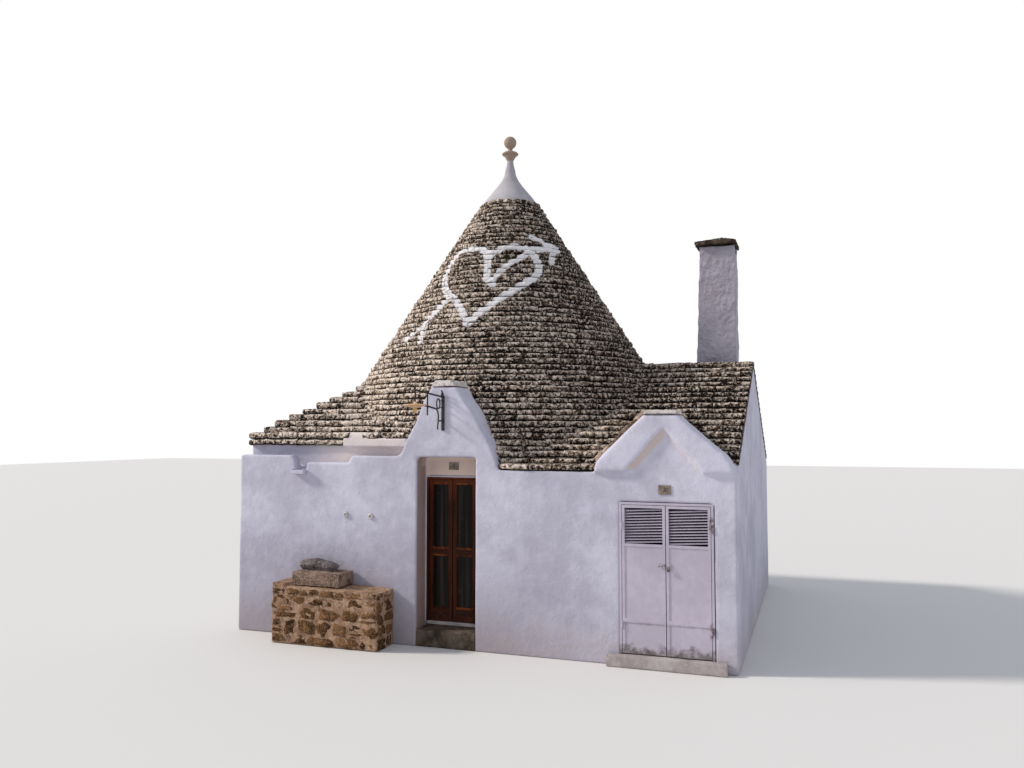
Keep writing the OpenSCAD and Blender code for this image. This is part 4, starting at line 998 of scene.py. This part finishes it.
def cone_courses():
    """Courses of the skirt over the store with the lower cone, and of the upper cone."""
    rng = random.Random(5)
    lines = CourseLines()

    def over_store(x, y, z):
        return x > ROOF_LEFT and cone_shows(x, y, z)

    levels = course_levels(WALL_TOP, EAVES, SKIRT_COURSES)
    for z, above in zip(levels, levels[1:]):
        ring(lines, z, above - z, rng.uniform(*CONE_SLAB), cone_radius(z) + 0.008, -math.pi / 2,
             over_store, math.pi)
    upper = CourseLines()
    levels = course_levels(EAVES, CAP_FOOT, CONE_COURSES)
    for i, (z, above) in enumerate(zip(levels, levels[1:])):
        part = lines if i < LOWER_CONE_COURSES else upper
        narrow = 0.60 + 0.40 * cone_radius(z) / EAVES_RADIUS
        ring(part, z, above - z, rng.uniform(*CONE_SLAB) * narrow, cone_radius(z) + 0.007,
             rng.uniform(0, 2 * math.pi), cone_shows)
    return lines, upper


def behind_plaster(x, z):
    """Whether the plaster beside the entrance gable takes the place of the street's slabs."""
    if z > EAVES + 0.02:
        return False
    return x > ENTRANCE_FOOT or PLASTER_LEFT - 0.02 < x < PLASTER_STEP or (z < EAVES and x > -1.3)


def corner_courses(lines, rng):
    """Courses over the corners between the straight eaves and the cone."""
    top = EAVES + CORNER_RISE
    hip = cone_radius(top) / math.sqrt(2)
    reach = 0.05 * EAVES_RADIUS
    levels = [EAVES - HANGING_COURSE] + course_levels(EAVES, top, CORNER_COURSES)

    def shows(x, y, z):
        return math.hypot(x, y) >= cone_radius(z) - 0.10 and not (y < 0 and behind_plaster(x, z))

    def side_shows(x, y, z):
        return math.hypot(x, y) >= cone_radius(z) - 0.10

    for side in (-1, 1):
        for z, above in zip(levels, levels[1:]):
            # One more course hangs under the eaves, over the street alone
            hanging = z < EAVES
            if hanging and side > 0:
                continue
            share = max(0.0, (z - EAVES) / CORNER_RISE)
            x_edge = LEFT + share * (-hip - LEFT)
            y_edge = side * (EAVES_RADIUS - share * (EAVES_RADIUS - hip))
            near = -reach + share * (-hip + reach)
            pitch = rng.uniform(*CORNER_SLAB)
            along = steps(x_edge + 0.55 * pitch, near - x_edge - 0.55 * pitch, 60)
            lines.straight([(x, y_edge, z) for x in along], (0.0, float(side), 0.0), above - z, pitch,
                           shows)
            if hanging:
                continue
            start = y_edge - side * 0.60 * pitch
            along = steps(start, side * (reach + share * (hip - reach)) - start, 60)
            lines.straight([(x_edge, y, z) for y in along], (-1.0, 0.0, 0.0), above - z, pitch, side_shows)


def store_roof_courses(lines, rng):
    """Courses on both slopes of the store's roof, and the ridge that two rows of flat stones close."""
    levels = course_levels(WALL_TOP, ROOF_RIDGE, ROOF_COURSES)

    def shows(x, y, z):
        if y < STORE_BACK and not FREE_EAVES[0] <= x <= FREE_EAVES[1]:
            return False
        return (math.hypot(x, y) >= cone_radius(z) - 0.12 and z + 0.03 >= store_saddle_height(x, y)
                and not in_chimney(x, y, 0.03))

    for side in (-1, 1):
        for z, above in zip(levels, levels[1:]):
            y = side * REAR * (1 - (z - WALL_TOP) / (ROOF_RIDGE - WALL_TOP))
            along = steps(ROOF_LEFT, RIGHT - 0.12 - ROOF_LEFT, 90)
            lines.straight([(x, y, z) for x in along], (0.0, float(side), 0.0), above - z,
                           rng.uniform(*ROOF_SLAB), shows)

    free = [x for x in steps(ROOF_LEFT, RIGHT - 0.14 - ROOF_LEFT, 90) if x >= cone_radius(ROOF_RIDGE)]
    for side in (-1, 1):
        row = [((x, 0.16 * side, ROOF_RIDGE - 0.05), (0.0, float(side), 0.0)) for x in free]
        lines.line(row, 0.062, 0.29)


def saddle_courses(lines, rng, centre, spread, eaves, ridge, courses, start, stop, shows):
    """Courses on both slopes of a small roof whose ridge runs back from a gable."""
    levels = course_levels(eaves, ridge, courses)
    along = steps(start + 0.06, stop - start, 40)
    for side in (-1, 1):
        for z, above in zip(levels, levels[1:]):
            share = (z - eaves) / (ridge - eaves)
            x = centre - 0.03 * share + side * (spread * (1 - share)) + side * 0.012
            lines.straight([(x, y, z) for y in along], (float(side), 0.0, 0.0), above - z,
                           rng.uniform(*CONE_SLAB), shows)
    # A row of flat stones closes the ridge
    free = [y for y in along if shows(centre, y, ridge)]
    lines.line([((centre + 0.09, y, ridge - 0.012), (1.0, 0.0, 0.0)) for y in free], 0.052, 0.26)


def low_roof_courses():
    """Courses of all the roofs round the cone."""
    rng = random.Random(9)
    lines = CourseLines()
    corner_courses(lines, rng)
    # Short courses close the skirt against the foot of the entrance gable
    levels = course_levels(WALL_TOP, EAVES, SKIRT_COURSES)
    for z, above in zip(levels, levels[1:]):
        lines.line([((x, -2.886, z), (0.0, -1.0, 0.0)) for x in (0.93, 1.02, 1.11)], above - z, 0.16)
    store_roof_courses(lines, rng)
    saddle_courses(lines, rng, ENTRANCE_X, ENTRANCE_SPREAD, ENTRANCE_EAVES, ENTRANCE_RIDGE, 3,
                   ENTRANCE_BACK, ENTRANCE_END, lambda x, y, z: math.hypot(x, y) > cone_radius(z) - 0.08)
    saddle_courses(lines, rng, STORE_X, STORE_SPREAD, STORE_EAVES, STORE_RIDGE, 8,
                   STORE_BACK, STORE_END, lambda x, y, z: z + 0.05 > store_roof_height(y))
    return lines


def lay_roofs():
    """Lays the slabs over the coursed solids, which show between them as stone darkened with painted shade.
    """
    tree = slab_layer()
    slab = unit_slab()
    sizes = {"Joint": 0.001, "Tilt": 0.03, "Looseness": 0.007, "Chipping": 0.030,
             "Low": (LEFT + 0.001, FRONT - 0.030, WALL_TOP - 0.02),
             "High": (RIGHT - 0.001, REAR - 0.001, APEX)}
    lower, upper = cone_courses()
    lower.lay("lower_cone_slab_courses", tree, slab, SIGNED_SLABS, Depth=0.13, **sizes)
    upper.lay("upper_cone_slab_courses", tree, slab, SIGNED_SLABS, Depth=0.12, **sizes)
    low_roof_courses().lay("low_roof_slab_courses", tree, slab, SLABS, Depth=0.20, **sizes)
    bpy.data.objects.remove(slab)
    for name in ("roof_cone_lower", "roof_cone_middle", "roof_cone_upper", "roof_skirt",
                 "saddle_roofs", "store_roof"):
        set_finish(nodes[name], CORE)


# Limewashed masonry

def build_masonry():
    walls = ("front_wall_left", "front_wall_middle", "lintels", "left_party_wall", "dividing_wall",
             "right_party_wall", "rear_wall", "eaves_wall", "entrance_gable", "store_gable", "parapets")
    plaster = (((PLASTER_LEFT, -2.925, PLASTER_FOOT), (PLASTER_STEP, DOOR_FACE, PLASTER_TOP)),
               ((PLASTER_LEFT, -2.928, PLASTER_FOOT), (PLASTER_RIGHT, DOOR_FACE, PLASTER_LOW_TOP)))
    worn_piece("limewashed_masonry", walls, WALL_LIME, seed=1, voxel=0.024, wear=0.005,
               scale=2.2, triangles=190000, bars=plaster)
    worn_piece("gable_cap_stones", ("gable_caps",), CAP_LIME, seed=3, voxel=0.011,
               wear=0.016, scale=9.0, triangles=16000)
    peak = worn_piece("white_cap_and_pinnacle", ("cone_cap", "pinnacle"), SHADED_PEAK_LIME, seed=4,
                      voxel=0.010, wear=0.003, scale=5.0, triangles=40000, smoothing=1)
    second_finish(peak, BALL_LIME, lambda p: p.z > DISC_FOOT)
    worn_piece("chimney_plaster", ("chimney_stack",), SHADED_CHIMNEY_LIME, seed=5, voxel=0.016,
               wear=0.030, scale=4.5, triangles=50000)
    worn_piece("chimney_top_slab", ("chimney_cap",), DARK_STONE, seed=6, voxel=0.011,
               wear=0.022, scale=8.0, triangles=14000, smoothing=1)
    treads = worn_piece("door_steps", ("steps",), STEP_STONE, seed=7, voxel=0.014, wear=0.008,
                        scale=6.0, triangles=20000)
    # The store's step and the sill under the entrance's leaves are of paler stone
    second_finish(treads, SILL_STONE, lambda p: p.x > 1.5 or (p.y > DOOR_FACE - 0.01 and p.z > 0.23))
    worn_piece("spout_stone", ("rain_spout",), LIME, seed=8, voxel=0.006, wear=0.003,
               scale=10.0, triangles=6000, smoothing=1)
    for name in ("corner_squinches", "inner_dome", "store_vault"):
        set_finish(nodes[name], LIME)
    set_finish(nodes["floors"], FLAGS)


# Bench

def stone_template():
    """Corners and faces of a cube from -1 to 1 cut into 3 x 3 squares a side."""
    bm = bmesh.new()
    bmesh.ops.create_cube(bm, size=2.0)
    bmesh.ops.subdivide_edges(bm, edges=bm.edges[:], cuts=2, use_grid_fill=True)
    bm.verts.index_update()
    corners = [vert.co.copy() for vert in bm.verts]
    faces = [[vert.index for vert in face.verts] for face in bm.faces]
    bm.free()
    return corners, faces


STONE_CORNERS, STONE_FACES = stone_template()


def add_stone(bm, centre, size, rng, turn=None):
    """A rubble stone above the ground: a block with knocked corners, which carry the stone's tone."""
    layer = bm.verts.layers.float.get("stone_tone") or bm.verts.layers.float.new("stone_tone")
    tone = rng.random()
    seed = Vector((rng.uniform(0, 50), rng.uniform(0, 50), rng.uniform(0, 50)))
    lean = rng.uniform(-0.12, 0.12)
    verts = []
    for corner in STONE_CORNERS:
        c = corner * (1 - 0.20 * max(0.0, corner.length - 1.0))
        c += noise.noise_vector(c * 1.1 + seed) * 0.34 + noise.noise_vector(c * 3.1 + seed) * 0.10
        spot = Vector((c.x * size[0] / 2, c.y * size[1] / 2, (c.z + lean * c.x) * size[2] / 2))
        if turn:
            spot = turn @ spot
        spot += Vector(centre)
        spot.z = max(spot.z, 0.002)
        vert = bm.verts.new(spot)
        vert[layer] = tone
        verts.append(vert)
    for face in STONE_FACES:
        bm.faces.new([verts[i] for i in face])


def rubble_rows(length, height, rng):
    """Places of the stones in a rubble face: centre along, centre up, length, height. Some places in
    a high row hold a stone on a stone."""
    stones = []
    margin = 0.010
    joint = 0.012
    z = margin
    while z < height - 0.05:
        row = min(rng.uniform(0.11, 0.19), height - z)
        x = rng.uniform(-0.12, 0.0)
        while x < length - 0.03:
            width = rng.uniform(0.10, 0.34)
            left = max(x, margin)
            right = min(x + width, length - margin)
            middle = (left + right) / 2
            if right - left > 0.05:
                if row > 0.15 and rng.random() < 0.35:
                    share = rng.uniform(0.4, 0.6)
                    stones.append((middle, z + row * share / 2, right - left, row * share - joint))
                    stones.append((middle + rng.uniform(-0.02, 0.02), z + row * (1 + share) / 2,
                                   (right - left) * rng.uniform(0.7, 1.0), row * (1 - share) - joint))
                else:
                    stones.append((middle, z + row / 2 + rng.uniform(-0.010, 0.010),
                                   right - left, row * rng.uniform(0.80, 1.02)))
            x += width + rng.uniform(0.006, 0.034)
        z += row + rng.uniform(0.004, 0.016)
    return stones


def build_bench():
    worn_piece("bench_mortar", ("stone_bench",), MORTAR, seed=9, voxel=0.014, wear=0.016,
               scale=6.0, triangles=30000)
    rng = random.Random(21)
    bm = bmesh.new()
    depth = 0.10
    for along, up, width, height in rubble_rows(BENCH_RIGHT - BENCH_LEFT, BENCH_SEAT - 0.03, rng):
        inset = depth / 2 - rng.uniform(-0.005, 0.003)
        add_stone(bm, (BENCH_LEFT + along, BENCH_FACE + inset, up), (width, depth, height), rng)
    for x, way in ((BENCH_RIGHT, -1), (BENCH_LEFT, 1)):
        for along, up, width, height in rubble_rows(FRONT - BENCH_FACE, BENCH_SEAT - 0.045, rng):
            inset = depth / 2 - rng.uniform(-0.005, 0.003)
            add_stone(bm, (x + way * inset, BENCH_FACE + along, up), (depth, width, height), rng)
    bmesh.ops.recalc_face_normals(bm, faces=bm.faces)
    new_piece("bench_stones_in_mortar", to_mesh(bm, "bench_rubble", smooth=True), "house", RUBBLE)
    stones = worn_piece("block_and_round_stone", ("bench_stones",), BLOCK_STONE, seed=10,
                        voxel=0.0085, wear=0.014, scale=11.0, triangles=30000, smoothing=1)
    second_finish(stones, ROUND_STONE, lambda p: p.z > BLOCK_TOP + 0.004)


def build_coping_stones():
    """Flat stones bedded in two rows along the left slope of the store's gable."""
    rng = random.Random(33)
    bm = bmesh.new()
    for (x0, z0), (x1, z1) in zip(GABLE_SLOPE, GABLE_SLOPE[1:]):
        start = Vector((x0, 0, z0))
        run = Vector((x1 - x0, 0, z1 - z0))
        turn = Matrix.Rotation(-math.atan2(run.z, run.x), 3, "Y")
        across = Vector((-run.z, 0, run.x)).normalized()
        count = max(1, round(run.length / 0.085))
        for i in range(count):
            middle = start + run * ((i + 0.5) / count) + across * rng.uniform(0.012, 0.028)
            for row in (-3.035, -2.905):
                centre = (middle.x, row + rng.uniform(-0.014, 0.014), middle.z)
                size = (run.length / count * rng.uniform(1.1, 1.5), 0.15, rng.uniform(0.045, 0.068))
                add_stone(bm, centre, size, rng, turn)
    bmesh.ops.recalc_face_normals(bm, faces=bm.faces)
    new_piece("gable_slope_stones", to_mesh(bm, "slope_stones", smooth=True), "house", BEIGE_SLABS)


# Doors

def glazing_beads(bm, start):
    """Beads that hold the panes of the leaf that starts there in X, inside and outside."""
    left = start + STILE
    right = start + LEAF_WIDTH - STILE
    size = 0.011
    for low, high in PANE_SPANS:
        for y0, y1 in ((LEAF_FACE + 0.005, LEAF_FACE + 0.019), (LEAF_BACK - 0.019, LEAF_BACK - 0.005)):
            add_bar(bm, (left, y0, low), (left + size, y1, high), 0.003)
            add_bar(bm, (right - size, y0, low), (right, y1, high), 0.003)
            add_bar(bm, (left + size, y0, low), (right - size, y1, low + size), 0.003)
            add_bar(bm, (left + size, y0, high - size), (right - size, y1, high), 0.003)


def wooden_piece(name, bm, body, finish, cad_name):
    """A piece of joinery. The hinges behind its back face are of metal."""
    piece = new_piece(name, to_mesh(bm, name), body, finish, (cad_name,))
    second_finish(piece, BRASS, lambda p: p.y > LEAF_BACK + 0.0012)


def in_front_of_back(p):
    return p.y < LEAF_BACK - 0.001


def build_entrance_door():
    for side, start in LEAF_LEFT.items():
        cad_name = "entrance_leaf_" + side
        bm = eased_copy(cad_name, 0.003, in_front_of_back)
        glazing_beads(bm, start)
        wooden_piece("wooden_leaf_" + side, bm, "entrance_" + side, WOOD[side], cad_name)
        set_finish(nodes["entrance_glass_" + side], PANES)
    bm = eased_copy("entrance_frame", 0.003, in_front_of_back)
    wooden_piece("wooden_door_frame", bm, "house", FRAME_WOOD, "entrance_frame")

    # A fillet of lime covers the joint between frame and wall
    bm = bmesh.new()
    back = DOOR_FACE - 0.005
    face = DOOR_FACE + 0.006
    add_bar(bm, (-0.190, back, FILLET_HEAD), (0.562, face, FILLET_HEAD + 0.015), 0.002)
    add_bar(bm, (-0.192, back, 0.262), (-0.178, face, FILLET_HEAD), 0.002)
    new_piece("frame_fillet", to_mesh(bm, "fillet"), "house", LIME)


def build_store_door():
    for side in ("left", "right"):
        cad_name = "store_leaf_" + side
        eased_piece("steel_leaf_" + side, cad_name, "store_" + side, STEEL, 0.0014)
        set_finish(nodes["store_louvres_" + side], SLATS)
    eased_piece("steel_door_frame", "store_frame", "house", STEEL, 0.0014)
    eased_piece("slide_bolt", "store_bolt", "store_left", BOLT_STEEL, 0.0012)

    def spot(across, out, up):
        """A place by the right leaf's edge: to the right, out from the front, and up from the bolt."""
        return (STORE_X + 0.035 + across, FRONT - out, BOLT_HEIGHT + up)

    # Staple on the right leaf, with its padlock
    bm = bmesh.new()
    add_bar(bm, spot(-0.018, 0.004, -0.026), spot(0.018, 0, 0.026), 0.0015)
    add_tube(bm, [spot(0, 0.002, 0.014), spot(0, 0.022, 0.012), spot(0, 0.027, 0),
                  spot(0, 0.022, -0.012), spot(0, 0.002, -0.014)], 0.0035)
    new_piece("padlock_staple", to_mesh(bm, "staple", smooth=True), "store_right", STEEL)
    bm = bmesh.new()
    add_bar(bm, spot(-0.017, 0.034, -0.068), spot(0.017, 0.014, -0.036), 0.004)
    bow = 0.011
    arc = [spot(bow * math.cos(a), 0.024, -0.016 + bow * math.sin(a)) for a in steps(0.0, math.pi, 8)]
    add_tube(bm, [spot(bow, 0.024, -0.040)] + arc + [spot(-bow, 0.024, -0.040)], 0.003)
    new_piece("padlock", to_mesh(bm, "padlock", smooth=True), "store_right", PADLOCK)


# Lamp and small fixtures

def build_lamp():
    """The bracket, and the shade from its bulb up, turned in the place of the CAD shade."""
    eased_piece("iron_lamp_bracket", "lamp_bracket", "house", IRON, 0.0018)
    low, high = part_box("lamp_shade")
    centre = Matrix.Translation(((low[0] + high[0]) / 2, (low[1] + high[1]) / 2, 0))
    foot = low[2]
    top = high[2]
    rim = foot + 0.105
    profile = ((0, foot), (0.012, foot + 0.001), (0.020, foot + 0.007), (0.0245, foot + 0.020),
               (0.0255, foot + 0.048), (0.022, foot + 0.052), (0.022, foot + 0.058), (0.030, foot + 0.062),
               (0.062, foot + 0.068), (0.100, foot + 0.080), (0.133, rim - 0.012), (0.1375, rim - 0.013),
               (0.1425, rim - 0.008), (0.1415, rim - 0.003), (0.136, rim - 0.001), (0.100, rim + 0.003),
               (0.050, rim + 0.007), (0.026, rim + 0.009), (0.0195, rim + 0.012), (0.0185, top - 0.004),
               (0.015, top), (0, top))
    mesh = to_mesh(lathe(profile, centre), "lamp", smooth=True)
    new_piece("enamelled_lamp", mesh, "house", ENAMEL, ("lamp_shade",))


def build_fixtures():
    profile = ((0, -0.004), (0.040, -0.004), (0.040, 0.008), (0.037, 0.016), (0.030, 0.0205),
               (0.022, 0.0215), (0.0165, 0.019), (0.0145, 0.012), (0.0135, 0.004), (0, 0.003))
    to_front = Matrix.Rotation(math.pi / 2, 4, "X")
    bm = bmesh.new()
    for x, z in ((-1.235, 1.655), (-0.855, 1.640)):
        dish = lathe(profile, Matrix.Translation((x, FRONT, z)) @ to_front, 40)
        bm.from_mesh(to_mesh(dish, "dish"))
    new_piece("ceramic_wall_fixtures", to_mesh(bm, "fixtures", smooth=True), "house", CERAMIC,
              ("ceramic_fixtures",))
    eased_piece("stone_number_plates", "number_plates", "house", PLATE, 0.003)
    places = {"5": (0.216, DOOR_FACE - 0.008, 2.3095), "3": (STORE_X - 0.005, FRONT - 0.008, 2.080)}
    for digit, place in places.items():
        text = bpy.data.curves.new("digit", "FONT")
        text.body = digit
        text.size = 0.075
        text.extrude = 0.0011
        text.offset = 0.0012
        text.align_x = "CENTER"
        text.align_y = "CENTER"
        holder = new_object("digit", text)
        mesh = baked(holder)
        bpy.data.objects.remove(holder)
        mesh.transform(Matrix.Translation(place) @ to_front)
        new_piece("house_number_" + digit, mesh, "house", DIGIT)


lay_roofs()
build_masonry()
build_bench()
build_coping_stones()
build_entrance_door()
build_store_door()
build_lamp()
build_fixtures()


# Floor, camera and light

def stage_floor():
    """A plain floor, just under the house."""
    half = 60.0
    bm = bmesh.new()
    corners = [(-half, -half), (half, -half), (half, half), (-half, half)]
    bm.faces.new([bm.verts.new((x, y, -0.002)) for x, y in corners])
    floor = new_object("floor", to_mesh(bm, "floor"))
    f = Finish("studio_floor", roughness=0.9)
    f.colour((0.70, 0.69, 0.68))
    set_finish(floor, f.material)


def studio_light():
    """A soft sky and a low sun from the left. The camera and reflections see the sky white."""
    scene = bpy.context.scene
    world = bpy.data.worlds.new("studio")
    scene.world = world
    world.use_nodes = True
    g = Graph(world.node_tree)
    g.tree.nodes.clear()
    rays = g.tree.nodes.new("ShaderNodeLightPath")
    seen = Value(g, rays.outputs["Is Camera Ray"]) + Value(g, rays.outputs["Is Glossy Ray"])
    seen = g.math("ADD", seen, Value(g, rays.outputs["Is Transmission Ray"]), clamp=True)
    light = g.node("ShaderNodeBackground", {"Color": (0.86, 0.91, 1.0), "Strength": 0.62})
    white = g.node("ShaderNodeBackground", {"Color": (1, 1, 1), "Strength": 1.0})
    mixed = g.node("ShaderNodeMixShader", {0: seen, 1: light, 2: white})
    output = g.tree.nodes.new("ShaderNodeOutputWorld")
    g.plug(mixed, output.inputs[0])
    sun = bpy.data.lights.new("key", "SUN")
    sun.energy = 3.0
    sun.angle = math.radians(8)
    sun.color = (1.0, 0.93, 0.845)
    beam = Vector((0.92, 0.27, -0.60))
    new_object("key", sun).rotation_euler = beam.to_track_quat("-Z", "Y").to_euler()
    scene.view_settings.view_transform = "Standard"


def street_camera():
    """The photograph's camera, whose focal length is 850 pixels of an image 1024 wide."""
    data = bpy.data.cameras.new("street")
    data.sensor_width = 36.0
    data.lens = 850 * 36.0 / 1024
    data.clip_end = 200
    camera = new_object("street", data)
    camera.location = (4.7473, -13.1889, 2.7617)
    camera.rotation_euler = (math.pi / 2 + 0.0564, 0.0, 0.3434)
    bpy.context.scene.camera = camera


stage_floor()
studio_light()
street_camera()
